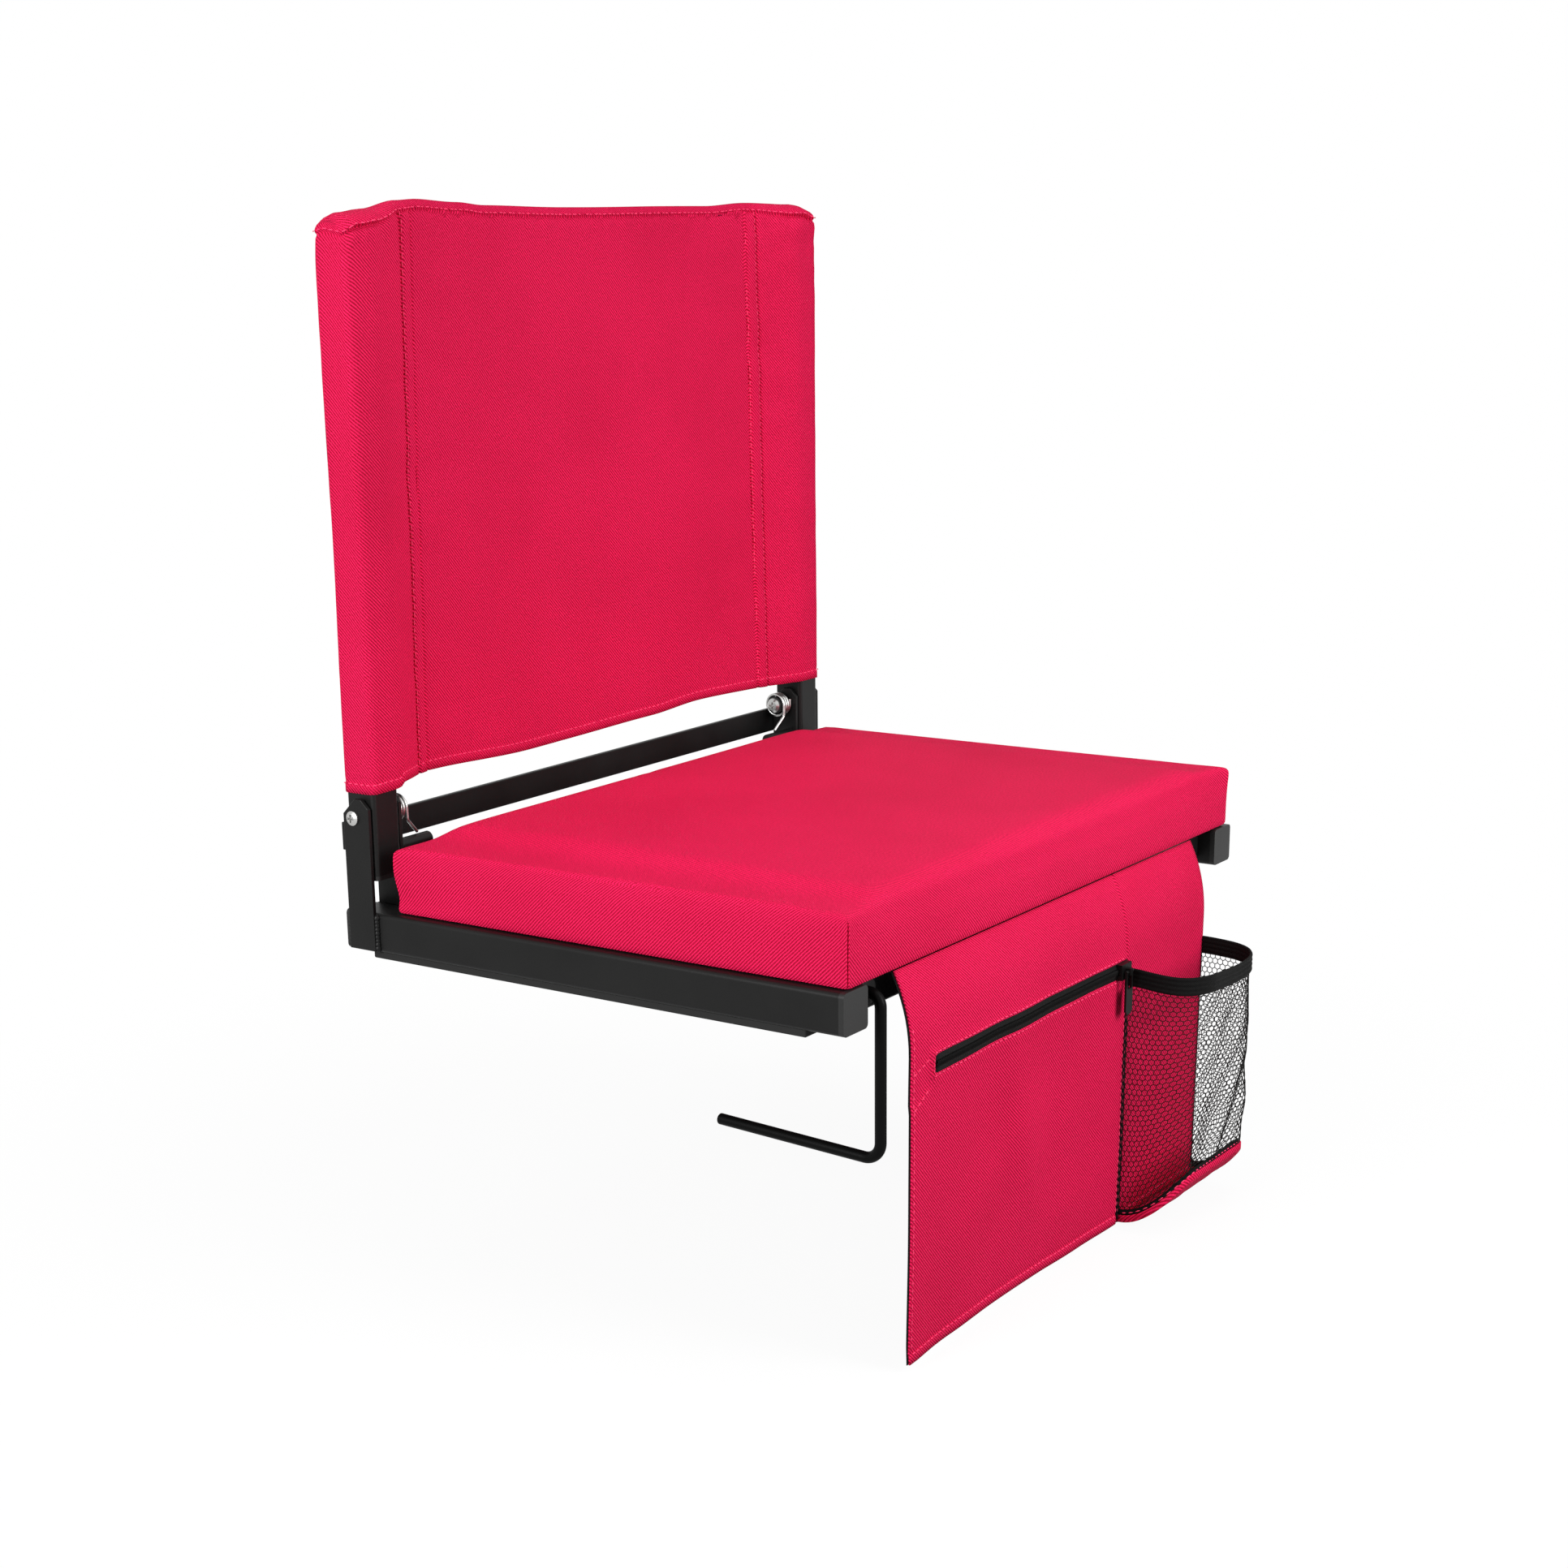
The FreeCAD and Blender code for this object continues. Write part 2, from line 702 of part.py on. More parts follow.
# One level of the cushion: drawn-in sides and round corners
def cushion_level(height, inset, draw):
    half_x = value("cushion_width") / 2 - inset
    half_y = value("cushion_length") / 2 - inset
    mid_y = value("rail_front") + value("cushion_front") + value("cushion_length") / 2
    z = value("rail_top") + height
    corner = value("cushion_corner") + inset * 0.6
    near = corner * (1 - math.sqrt(0.5))
    edges = []
    for quarter in range(4):
        long_half = half_x if quarter % 2 == 0 else half_y
        wide_half = half_y if quarter % 2 == 0 else half_x
        spots = [
            Vec(corner - long_half, -wide_half, 0),
            Vec(0, draw - wide_half, 0),
            Vec(long_half - corner, -wide_half, 0),
            Vec(long_half - near, near - wide_half, 0),
            Vec(long_half, corner - wide_half, 0),
        ]
        turn = FreeCAD.Rotation(Z_AXIS, 90 * quarter)
        spots = [turn.multVec(spot) + Vec(0, mid_y, z) for spot in spots]
        edges.append(Part.Arc(spots[0], spots[1], spots[2]).toShape())
        edges.append(Part.Arc(spots[2], spots[3], spots[4]).toShape())
    return Part.Wire(edges)


tall = value("cushion_height")
crown = value("cushion_crown")
edge_inset = value("cushion_edge_inset")
draw_in = value("cushion_draw")
flank = [
    cushion_level(0, value("cushion_underside_inset"), draw_in / 8),
    cushion_level(tall * 0.25, 0, draw_in / 2),
    cushion_level(tall * 0.75, edge_inset * 0.08, draw_in),
    cushion_level(tall * 0.93, edge_inset * 0.4, draw_in),
    cushion_level(tall, edge_inset, draw_in),
]
dome = [
    cushion_level(tall, edge_inset, draw_in),
    cushion_level(tall + crown * 0.55, edge_inset * 4, draw_in / 2),
    cushion_level(tall + crown * 0.9, edge_inset * 8, draw_in / 4),
    cushion_level(tall + crown, edge_inset * 12, draw_in / 8),
]
pad_shape = Part.makeLoft(flank, True, False).fuse(Part.makeLoft(dome, True, False))
cushion = made("cushion_blank", pad_shape)
recess = box("recess", "board_width + 2 * board_clearance", "board_length + 2 * board_clearance",
             "under_cover_thickness + board_thickness + board_clearance + 1",
             "-board_width / 2 - board_clearance",
             "rail_front + board_front - board_clearance", "rail_top - 1")
keep(cut("cushion", cushion, recess), "seat_cushion")

# Uprights with their pivot holes
for side, sign in SIDES:
    upright = tube(side + "_upright", "XY_Plane", Z_AXIS, "upright_width", "upright_depth",
                   "upright_wall", "upright_corner", "upright_drop + upright_rise")
    hole = sketch_on(upright, "YZ_Plane")
    circle(hole, "upright_depth / 2 - back_behind", "(upright_drop - upright_rise) / 2",
           "barrel_radius + running_clearance")
    pocket_both(upright, hole, "2 * upright_width")
    put(upright, side_x(sign, "rail_axis_x"), "pivot_y + back_behind - upright_depth / 2",
        "pivot_z + (upright_rise - upright_drop) / 2")
    keep(upright, side + "_upright")

# Plugs in both ends of the uprights
for label, backwards, z in (
        ("upright_top_plugs", True, "pivot_z + upright_rise + upright_plug_head / 2"),
        ("upright_bottom_plugs", False, "pivot_z - upright_drop - upright_plug_head / 2")):
    caps = []
    for sign in (-1, 1):
        cap = plug("upright_plug", "XY_Plane", Z_AXIS, "upright_width", "upright_depth",
                   "upright_wall", "upright_corner", "upright_plug_head", backwards)
        put(cap, side_x(sign, "rail_axis_x"), "pivot_y + back_behind - upright_depth / 2", z)
        caps.append(cap)
    keep(together(label, caps), label)

# Flat crossbar behind the uprights, which is also the stop on the straps
bar = box("back_bar", "back_bar_width", "back_bar_thickness", "back_bar_height",
          "-back_bar_width / 2", "pivot_y + back_behind", "pivot_z - back_bar_drop")
keep(rounded("back_bar_round", bar, "back_bar_edge", every_edge), "back_crossbar")

# A cross recess in the flat end of a turned head
def cross_recess(body, along):
    sketch = sketch_on(body, "YZ_Plane")
    sketch.setExpression("AttachmentOffset.Base.z", linked(along))
    long_arm = "recess_arm"
    short_arm = "recess_half_width"
    outline(sketch, [
        (long_arm, "-" + short_arm), (long_arm, short_arm), (short_arm, short_arm),
        (short_arm, long_arm), ("-" + short_arm, long_arm), ("-" + short_arm, short_arm),
        ("-" + long_arm, short_arm), ("-" + long_arm, "-" + short_arm),
        ("-" + short_arm, "-" + short_arm), ("-" + short_arm, "-" + long_arm),
        (short_arm, "-" + long_arm), (short_arm, "-" + short_arm),
    ], 3)
    pocket_both(body, sketch, "2 * recess_depth")


# Pivot barrels, screws, spring hubs and washers
hubs = []
washers = []
for side, sign in SIDES:
    angle = 0 if sign < 0 else 180
    barrel = turned(side + "_barrel", [
        ("-side_play - barrel_head_height", "0"),
        ("-side_play - barrel_head_height", "barrel_head_radius * 0.6"),
        ("-side_play - barrel_head_height * 0.5", "barrel_head_radius"),
        ("-side_play", "barrel_head_radius"),
        ("-side_play", "barrel_radius"),
        ("hinge_stack + side_play", "barrel_radius"),
        ("hinge_stack + side_play", "screw_radius + running_clearance"),
        ("hinge_stack + side_play - barrel_bore", "screw_radius + running_clearance"),
        ("hinge_stack + side_play - barrel_bore", "0"),
    ])
    cross_recess(barrel, "-side_play - barrel_head_height")
    x = side_x(sign, "rail_outer_x + strap_thickness")
    put(barrel, x, "pivot_y", "pivot_z", Z_AXIS, angle)
    keep(barrel, side + "_pivot_barrel")
    screw = turned(side + "_screw", [
        ("hinge_stack + side_play - screw_reach", "0"),
        ("hinge_stack + side_play - screw_reach", "screw_radius"),
        ("hinge_stack + side_play + coil_length", "screw_radius"),
        ("hinge_stack + side_play + coil_length", "screw_head_radius"),
        ("hinge_stack + side_play + coil_length + screw_head_height / 2", "screw_head_radius"),
        ("hinge_stack + side_play + coil_length + screw_head_height", "screw_head_radius - 1.6"),
        ("hinge_stack + side_play + coil_length + screw_head_height", "0"),
    ])
    cross_recess(screw, "hinge_stack + side_play + coil_length + screw_head_height")
    put(screw, x, "pivot_y", "pivot_z", Z_AXIS, angle)
    keep(screw, side + "_pivot_screw")
    hub = turned(side + "_hub", ring_corners(
        "hinge_stack + side_play", "hinge_stack + side_play + coil_length",
        "screw_radius + running_clearance", "hub_radius"))
    put(hub, x, "pivot_y", "pivot_z", Z_AXIS, angle)
    hubs.append(hub)
    for start in ("strap_thickness + side_play",
                  "strap_thickness + side_play + washer_thickness + upright_width"):
        washer = turned("pivot_washer", ring_corners(
            start, start + " + washer_thickness", "barrel_radius + running_clearance",
            "washer_radius"))
        put(washer, x, "pivot_y", "pivot_z", Z_AXIS, angle)
        washers.append(washer)
keep(together("hubs", hubs), "spring_hubs")
keep(together("washers", washers), "pivot_washers")


def chain(points):
    edges = []
    for start, end in zip(points, points[1:]):
        edges.append(straight(start, end))
    return edges


# Fabric sleeve over the uprights: two channels and a panel that bows to the rear
def sleeve_shape():
    wall = value("sleeve_wall")
    loose = value("sleeve_clearance")
    axis_x = value("rail_axis_x")
    half = value("upright_width") / 2
    rear = value("pivot_y") + value("back_behind")
    front = rear - value("upright_depth")
    out_x = axis_x + half + loose + wall
    in_x = axis_x - half - loose
    seam = value("sleeve_seam")
    allowance = value("sleeve_seam_allowance")
    panel_mid = value("pivot_y") - value("sleeve_panel_back")
    panel_front = panel_mid - value("sleeve_panel") / 2
    panel_rear = panel_mid + value("sleeve_panel") / 2
    bow = value("sleeve_bow")
    low = value("pivot_z") + value("sleeve_bottom_rise")
    high = value("pivot_z") + value("sleeve_top_rise")
    front_out = front - loose - wall
    rear_out = rear + loose + wall
    edges = [Part.Arc(Vec(-seam, panel_front, low), Vec(0, panel_front + bow, low),
                      Vec(seam, panel_front, low)).toShape()]
    edges += chain([Vec(seam, panel_front, low), Vec(in_x, front_out, low),
                    Vec(out_x, front_out, low), Vec(out_x, rear_out, low),
                    Vec(in_x, rear_out, low), Vec(seam, panel_rear, low)])
    edges.append(Part.Arc(Vec(seam, panel_rear, low), Vec(0, panel_rear + bow, low),
                          Vec(-seam, panel_rear, low)).toShape())
    edges += chain([Vec(-seam, panel_rear, low), Vec(-in_x, rear_out, low),
                    Vec(-out_x, rear_out, low), Vec(-out_x, front_out, low),
                    Vec(-in_x, front_out, low), Vec(-seam, panel_front, low)])
    solid = Part.Face(Part.Wire(edges)).extrude(Vec(0, 0, high - low))
    corners = []
    for edge in solid.Edges:
        middle = edge.CenterOfMass
        upright = abs(edge.lastVertex().Z - edge.firstVertex().Z) > 1
        if upright and abs(abs(middle.x) - out_x) < 0.01:
            corners.append(edge)
    solid = solid.makeFillet(value("sleeve_corner"), corners)
    top = high - value("sleeve_cap")
    for sign in (-1, 1):
        ring = [Vec(sign * (out_x - wall), front_out + wall, low - 1),
                Vec(sign * in_x, front_out + wall, low - 1),
                Vec(sign * (seam + allowance), panel_mid - 1, low - 1),
                Vec(sign * (seam + allowance), panel_mid + 1, low - 1),
                Vec(sign * in_x, rear_out - wall, low - 1),
                Vec(sign * (out_x - wall), rear_out - wall, low - 1)]
        ring.append(ring[0])
        channel = Part.Face(Part.Wire(chain(ring))).extrude(Vec(0, 0, top - low + 1))
        corners = []
        for edge in channel.Edges:
            upright = abs(edge.lastVertex().Z - edge.firstVertex().Z) > 1
            if upright and abs(abs(edge.CenterOfMass.x) - out_x + wall) < 0.01:
                corners.append(edge)
        channel = channel.makeFillet(value("sleeve_channel_corner"), corners)
        solid = solid.cut(channel)
    return solid


keep(made("sleeve", sleeve_shape()), "back_sleeve")

# Rod hook: a bent path in its own frame, with its origin at the rear end of the upper leg
hook = new_body("hook")
spine = sketch_on(hook, "YZ_Plane")
leg_y = value("rail_front") + value("hook_leg_setback") - value("hook_rear_y")
top_bend = value("hook_top_bend")
low_bend = value("hook_low_bend")
tilt = math.radians(value("hook_tilt"))
low_z = -value("hook_drop")
tip_y = value("rail_front") + value("hook_tip") - value("hook_rear_y")
spine.addGeometry(Part.LineSegment(Vec(0, 0, 0), Vec(leg_y + top_bend, 0, 0)), False)
spine.addGeometry(Part.ArcOfCircle(
    Part.Circle(Vec(leg_y + top_bend, -top_bend, 0), Z_AXIS, top_bend), math.pi / 2, math.pi), False)
spine.addGeometry(Part.LineSegment(Vec(leg_y, -top_bend, 0), Vec(leg_y, low_z + low_bend, 0)), False)
bend_mid = Vec(leg_y + low_bend, low_z + low_bend, 0)
spine.addGeometry(Part.ArcOfCircle(
    Part.Circle(bend_mid, Z_AXIS, low_bend), math.pi, math.pi * 1.5 + tilt), False)
low_start = bend_mid + Vec(low_bend * math.sin(tilt), -low_bend * math.cos(tilt), 0)
rise = (tip_y - low_start.x) * math.tan(tilt)
spine.addGeometry(Part.LineSegment(low_start, Vec(tip_y, low_start.y + rise, 0)), False)
spine.addConstraint(Sketcher.Constraint("Coincident", 0, 1, -1, 1))
spine.addConstraint(Sketcher.Constraint("Horizontal", 0))
spine.addConstraint(Sketcher.Constraint("Tangent", 0, 2, 1, 1))
spine.addConstraint(Sketcher.Constraint("Tangent", 1, 2, 2, 1))
spine.addConstraint(Sketcher.Constraint("Vertical", 2))
spine.addConstraint(Sketcher.Constraint("Tangent", 2, 2, 3, 1))
spine.addConstraint(Sketcher.Constraint("Tangent", 3, 2, 4, 1))
DRIVEN = [
    (Sketcher.Constraint("Radius", 1, top_bend), "hook_top_bend"),
    (Sketcher.Constraint("Radius", 3, low_bend), "hook_low_bend"),
    (Sketcher.Constraint("DistanceX", -1, 1, 2, 1, leg_y),
     "rail_front + hook_leg_setback - hook_rear_y"),
    (Sketcher.Constraint("DistanceY", -1, 1, 2, 2, low_z + low_bend), "hook_low_bend - hook_drop"),
    (Sketcher.Constraint("DistanceX", -1, 1, 4, 2, tip_y), "rail_front + hook_tip - hook_rear_y"),
    (Sketcher.Constraint("Angle", 4, tilt), "hook_tilt * 1 deg"),
]
for constraint, text in DRIVEN:
    number = spine.addConstraint(constraint)
    spine.setExpression("Constraints[%d]" % number, linked(text))
section = sketch_on(hook, "XZ_Plane")
circle(section, "0", "0", "hook_rod / 2")
rod = hook.newObject("PartDesign::AdditivePipe", "Rod")
rod.Profile = section
rod.Spine = (spine, [])
doc.recompute()
tips = []
for index, edge in enumerate(rod.Shape.Edges, start=1):
    if abs(edge.CenterOfMass.y - tip_y) < 1 and len(edge.Vertexes) == 1:
        tips.append("Edge%d" % index)
tip_round = hook.newObject("PartDesign::Fillet", "Fillet")
tip_round.Base = (rod, tips)
tip_round.setExpression("Radius", linked("hook_end_round"))
put(hook, "-hook_offset", "hook_rear_y", "hook_axis_z")
keep(hook, "bleacher_hook")

# Bushings in the front crossbar, and the washer and push nut on the end of the hook
bushing_corners = [
    ("-bushing_flange_thickness", "hook_rod / 2 + running_clearance"),
    ("bushing_reach", "hook_rod / 2 + running_clearance"),
    ("bushing_reach", "bushing_radius"),
    ("0", "bushing_radius"),
    ("0", "bushing_flange"),
    ("-bushing_flange_thickness", "bushing_flange"),
]
bushings = []
for y, angle in (("rail_front + front_setback", 90),
                 ("rail_front + front_setback + crossbar_depth", -90)):
    bushing = turned("bushing", bushing_corners)
    put(bushing, "-hook_offset", y, "hook_axis_z", Z_AXIS, angle)
    bushings.append(bushing)
keep(together("bushings", bushings), "hook_bushings")
behind_flange = "rail_front + front_setback + crossbar_depth + bushing_flange_thickness + side_play"
hook_washer = turned("hook_washer", ring_corners(
    "0", "hook_washer_thickness", "hook_rod / 2 + running_clearance", "hook_washer_radius"))
put(hook_washer, "-hook_offset", behind_flange, "hook_axis_z", Z_AXIS, 90)
keep(hook_washer, "hook_washer")
push_nut = turned("push_nut", ring_corners(
    "0", "push_nut_length", "hook_rod / 2 + running_clearance / 5", "push_nut_radius"))
put(push_nut, "-hook_offset", behind_flange + " + hook_washer_thickness", "hook_axis_z", Z_AXIS, 90)
keep(push_nut, "hook_push_nut")


# Front face of the hanging flap below its shoulder: forward distance at a drop below the rails
def panel_out(drop):
    return value("flap_shoulder_out") - (drop - value("flap_shoulder_drop")) * value("zip_tilt_out")


# One section across the flap, between two distances behind its front face
def flap_section(x, fold, near, far):
    front = value("rail_front")
    base = value("rail_base")
    top = Vec(x, front + value("flap_top_setback"), base + value("flap_top"))
    shoulder = Vec(x, front - value("flap_shoulder_out"), base - value("flap_shoulder_drop"))
    hem = Vec(x, front - value("flap_hem_out"), base - value("flap_hem_drop"))
    way = (shoulder - hem).normalize()
    chord = top - shoulder
    lean = way.getAngle(chord)
    across = Vec(0, -chord.z, chord.y).normalize()
    middle = (top + shoulder) * 0.5 + across * (-chord.Length / 2 * math.tan(lean / 2))
    if middle.y > (top.y + shoulder.y) / 2:
        middle = (top + shoulder) * 0.5 + across * (chord.Length / 2 * math.tan(lean / 2))
    hem = hem + Vec(0, fold, 0)
    go = Vec(0, near, 0)
    back = Vec(0, far, 0)
    edges = [Part.Arc(top + go, middle + go, shoulder + go).toShape()]
    edges += chain([shoulder + go, hem + go, hem + back, shoulder + back])
    edges.append(Part.Arc(shoulder + back, middle + back, top + back).toShape())
    edges.append(straight(top + back, top + go))
    return Part.Wire(edges)


def flap_sheet(near, far):
    fold = value("fold_depth")
    left = -value("flap_left")
    divider = value("pocket_left") - 4
    stations = [(left, 0)]
    for step, share in enumerate((0.6, 1.0, 0.9, 0.4), start=1):
        stations.append((left + (divider - left) * step / 5, fold * share))
    stations.append((divider, 0))
    wires = [flap_section(x, amount, near, far) for x, amount in stations]
    folded = Part.makeLoft(wires, True, False)
    plain = [flap_section(x, 0, near, far) for x in (divider, value("flap_right"))]
    flat = Part.makeLoft(plain, True, True)
    return folded.fuse(flat)


panel_back = value("flap_thickness")
keep(made("panel", flap_sheet(0, panel_back)), "flap_panel")
lining_front = panel_back + value("layer_gap")
keep(made("lining", flap_sheet(lining_front, lining_front + value("lining_thickness"))), "flap_lining")


# A flat strip on the front of the panel between two drops
def strip(x_start, x_end, top_drop, low_drop, gap, thickness):
    points = []
    for drop, extra in ((top_drop, gap), (low_drop, gap), (low_drop, gap + thickness),
                        (top_drop, gap + thickness)):
        y = value("rail_front") - panel_out(drop) - extra
        points.append(Vec(x_start, y, value("rail_base") - drop))
    points.append(points[0])
    return Part.Face(Part.Wire(chain(points))).extrude(Vec(x_end - x_start, 0, 0))


half_tape = value("zip_tape_height") / 2
keep(made("tape", strip(-value("zip_left"), value("zip_right"), value("zip_drop") - half_tape,
                        value("zip_drop") + half_tape, value("zip_tape_gap"),
                        value("zip_tape_thickness"))), "zip_tape")
coil_bar = box("coil_bar", "zip_left + zip_right - 2", "coil_depth", "coil_height", "1 - zip_left",
               "zip_front_y - coil_gap - coil_depth", "zip_z - coil_height / 2")
keep(coil_bar, "zip_coil")
keep(made("binding", strip(value("pocket_left") - value("binding_width") - 0.5,
                           value("pocket_left") - 0.5, value("band_top"),
                           value("pocket_back_drop"), value("zip_tape_gap"),
                           value("binding_thickness"))), "pocket_binding")

# Zip slider with its lug, in its own frame on the front of the tape
slider = new_body("slider")
sketch = sketch_on(slider, "YZ_Plane")
groove = "-(coil_gap + coil_depth + slider_wall_gap)"
outline(sketch, [
    ("-slider_wall_gap", "-slider_height / 2"),
    ("-slider_wall_gap", "-(coil_height / 2 + slider_wall_gap)"),
    (groove, "-(coil_height / 2 + slider_wall_gap)"),
    (groove, "coil_height / 2 + slider_wall_gap"),
    ("-slider_wall_gap", "coil_height / 2 + slider_wall_gap"),
    ("-slider_wall_gap", "slider_height / 2"),
    ("-slider_wall_gap - slider_depth", "slider_height / 2"),
    ("-slider_wall_gap - slider_depth", "-slider_height / 2"),
])
pad_both(slider, sketch, "slider_length")
lug = sketch_on(slider, "YZ_Plane")
lug_back = "-slider_wall_gap - slider_depth + 0.5"
lug_front = "-slider_wall_gap - slider_depth - lug_depth"
outline(lug, [(lug_back, "-lug_height / 2"), (lug_front, "-lug_height / 2"),
              (lug_front, "lug_height / 2"), (lug_back, "lug_height / 2")])
pad_both(slider, lug, "lug_width")
eye = sketch_on(slider, "YZ_Plane")
pin_y = "-slider_wall_gap - slider_depth - pull_pin_out"
circle(eye, pin_y, "0", "pull_pin_radius + running_clearance")
pocket_both(slider, eye, "2 * lug_width")
put(slider, "slider_rest", "zip_front_y", "zip_z")
keep(slider, "zip_slider")

# Pull tab that swings on a pin through the lug
pull = new_body("pull")
sketch = sketch_on(pull, "XZ_Plane")
arm = "pull_slot_width / 2"
edge = "pull_width / 2"
outline(sketch, [
    ("-(%s)" % edge, "0"), ("-(%s)" % arm, "0"), ("-(%s)" % arm, "-pull_slot_end"),
    (arm, "-pull_slot_end"), (arm, "0"), (edge, "0"), (edge, "2 - pull_length"),
    (edge + " - 2", "-pull_length"), ("2 - %s" % edge, "-pull_length"),
    ("-(%s)" % edge, "2 - pull_length"),
])
pad_both(pull, sketch, "pull_thickness")
sketch = sketch_on(pull, "YZ_Plane")
circle(sketch, "0", "0", "pull_pin_radius")
pad_both(pull, sketch, "pull_width")
put(pull, "slider_rest", "zip_front_y + " + pin_y, "zip_z")
keep(pull, "zip_pull_tab")


# One level of the cup pocket's D-shaped wall
def pocket_depth(drop):
    share = (drop - value("band_top")) / (value("flap_hem_drop") - value("band_top"))
    return value("pocket_mouth_depth") + (value("pocket_base_depth") - value("pocket_mouth_depth")) * share


def pocket_path(drop, inset):
    z = value("rail_base") - drop
    back = value("rail_front") - panel_out(drop) - value("pocket_gap")
    left = value("pocket_left") + inset
    right = value("pocket_right") - inset
    front = value("rail_front") - panel_out(drop) - pocket_depth(drop) + inset
    left_r = value("pocket_left_corner") - inset
    right_r = value("pocket_right_corner") - inset
    bit = 1 - math.sqrt(0.5)
    lines = [
        straight(Vec(left, back, z), Vec(left, front + left_r, z)),
        Part.Arc(Vec(left, front + left_r, z), Vec(left + left_r * bit, front + left_r * bit, z),
                 Vec(left + left_r, front, z)).toShape(),
        straight(Vec(left + left_r, front, z), Vec(right - right_r, front, z)),
        Part.Arc(Vec(right - right_r, front, z), Vec(right - right_r * bit, front + right_r * bit, z),
                 Vec(right, front + right_r, z)).toShape(),
        straight(Vec(right, front + right_r, z), Vec(right, back, z)),
    ]
    return lines, Vec(left, back, z), Vec(right, back, z)


def pocket_ring(drop, thickness):
    outer, outer_left, outer_right = pocket_path(drop, 0)
    inner, inner_left, inner_right = pocket_path(drop, thickness)
    edges = outer + [straight(outer_right, inner_right)] + inner[::-1]
    edges.append(straight(inner_left, outer_left))
    return Part.Wire(edges)


def pocket_disc(drop):
    outer, outer_left, outer_right = pocket_path(drop, 0)
    return Part.Wire(outer + [straight(outer_right, outer_left)])


band_low = value("band_top") + value("band_height")
band = Part.makeLoft([pocket_ring(value("band_top"), value("band_thickness")),
                      pocket_ring(band_low, value("band_thickness"))], True, True)
keep(made("band", band), "mesh_pocket_band")

# The base slopes from the front of the net down to the flap
front_y = value("rail_front") - panel_out(value("pocket_front_drop")) - pocket_depth(value("pocket_front_drop"))
back_y = value("rail_front") - panel_out(value("pocket_back_drop"))
slope = math.atan2(value("pocket_back_drop") - value("pocket_front_drop"), back_y - front_y)


def sloping_slab(below, thickness):
    reach = value("frame_width")
    slab = Part.makeBox(2 * reach, 2 * reach, thickness, Vec(-reach, -reach, -thickness - below))
    slab.rotate(Vec(0, 0, 0), X_AXIS, -math.degrees(slope))
    slab.translate(Vec(0, front_y, value("rail_base") - value("pocket_front_drop")))
    return slab


lowest = value("flap_hem_drop") + 8
net = Part.makeLoft([pocket_ring(band_low, value("mesh_thickness")),
                     pocket_ring(lowest, value("mesh_thickness"))], True, True)
keep(made("net", net.cut(sloping_slab(0, value("flap_hem_drop")))), "mesh_pocket")
core = Part.makeLoft([pocket_disc(band_low), pocket_disc(lowest)], True, True)
keep(made("base", core.common(sloping_slab(0, value("pocket_base_thickness")))), "mesh_pocket_base")

# Check every object, then write one file for each piece
doc.recompute()
for obj in doc.Objects:
    if "Invalid" in obj.State or "Error" in obj.State:
        raise RuntimeError("not computed: " + obj.Name + " " + obj.Label)
os.makedirs("parts", exist_ok=True)
for obj in NODES:
    shape = obj.Shape
    if shape.isNull() or not shape.isValid():
        raise RuntimeError("bad shape: " + obj.Label)
    shape.exportStep("parts/" + obj.Label + ".step")
    print("%-26s solids %d volume %.1f" % (obj.Label, len(shape.Solids), shape.Volume))
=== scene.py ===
# %% [markdown]
# A folding stadium seat: a cushion on a square-tube frame, a cloth back stretched between two uprights,
# a steel hook that grips the bench, and a flap in front with a zip pocket and a net pocket for a bottle.
# The rigid parts come from the CAD model, and this lesson dresses it. Everything is in metres, in the
# CAD model's own frame: x to the seat's right, y to the rear, z up. The first thing to keep is the box
# that the CAD model fills, because cloth may stand only a little proud of it.

import bisect
import math

import bmesh
import bpy
from mathutils import Matrix, Vector, noise


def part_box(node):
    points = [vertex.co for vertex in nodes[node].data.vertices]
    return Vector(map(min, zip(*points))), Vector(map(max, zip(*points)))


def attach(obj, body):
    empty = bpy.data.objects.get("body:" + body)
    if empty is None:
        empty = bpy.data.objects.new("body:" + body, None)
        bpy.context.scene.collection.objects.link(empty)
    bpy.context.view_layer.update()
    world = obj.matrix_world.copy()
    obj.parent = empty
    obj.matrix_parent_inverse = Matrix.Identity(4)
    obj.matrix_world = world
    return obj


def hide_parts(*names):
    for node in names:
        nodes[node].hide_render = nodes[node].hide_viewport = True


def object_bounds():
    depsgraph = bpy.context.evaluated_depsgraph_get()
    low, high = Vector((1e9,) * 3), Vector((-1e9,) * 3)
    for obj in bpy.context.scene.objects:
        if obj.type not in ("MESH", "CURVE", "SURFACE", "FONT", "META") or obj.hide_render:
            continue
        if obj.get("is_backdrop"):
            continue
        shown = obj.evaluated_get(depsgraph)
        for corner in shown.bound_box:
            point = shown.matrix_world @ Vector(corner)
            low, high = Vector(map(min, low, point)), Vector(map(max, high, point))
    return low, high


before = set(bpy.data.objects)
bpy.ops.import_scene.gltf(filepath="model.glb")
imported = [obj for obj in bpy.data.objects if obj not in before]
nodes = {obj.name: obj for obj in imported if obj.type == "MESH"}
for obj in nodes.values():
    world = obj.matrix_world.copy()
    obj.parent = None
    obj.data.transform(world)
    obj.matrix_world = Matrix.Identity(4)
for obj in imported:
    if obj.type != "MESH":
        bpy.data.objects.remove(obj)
cad_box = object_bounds()
scene = bpy.context.scene
print("CAD nodes:", len(nodes))

# %% [markdown]
# The camera comes first, because every later choice is judged through it. The photograph was taken from
# the seat's front left, a little above it, with a long lens. The frame is cropped off centre, so the
# lens is shifted rather than the camera turned, which would bend the upright lines.

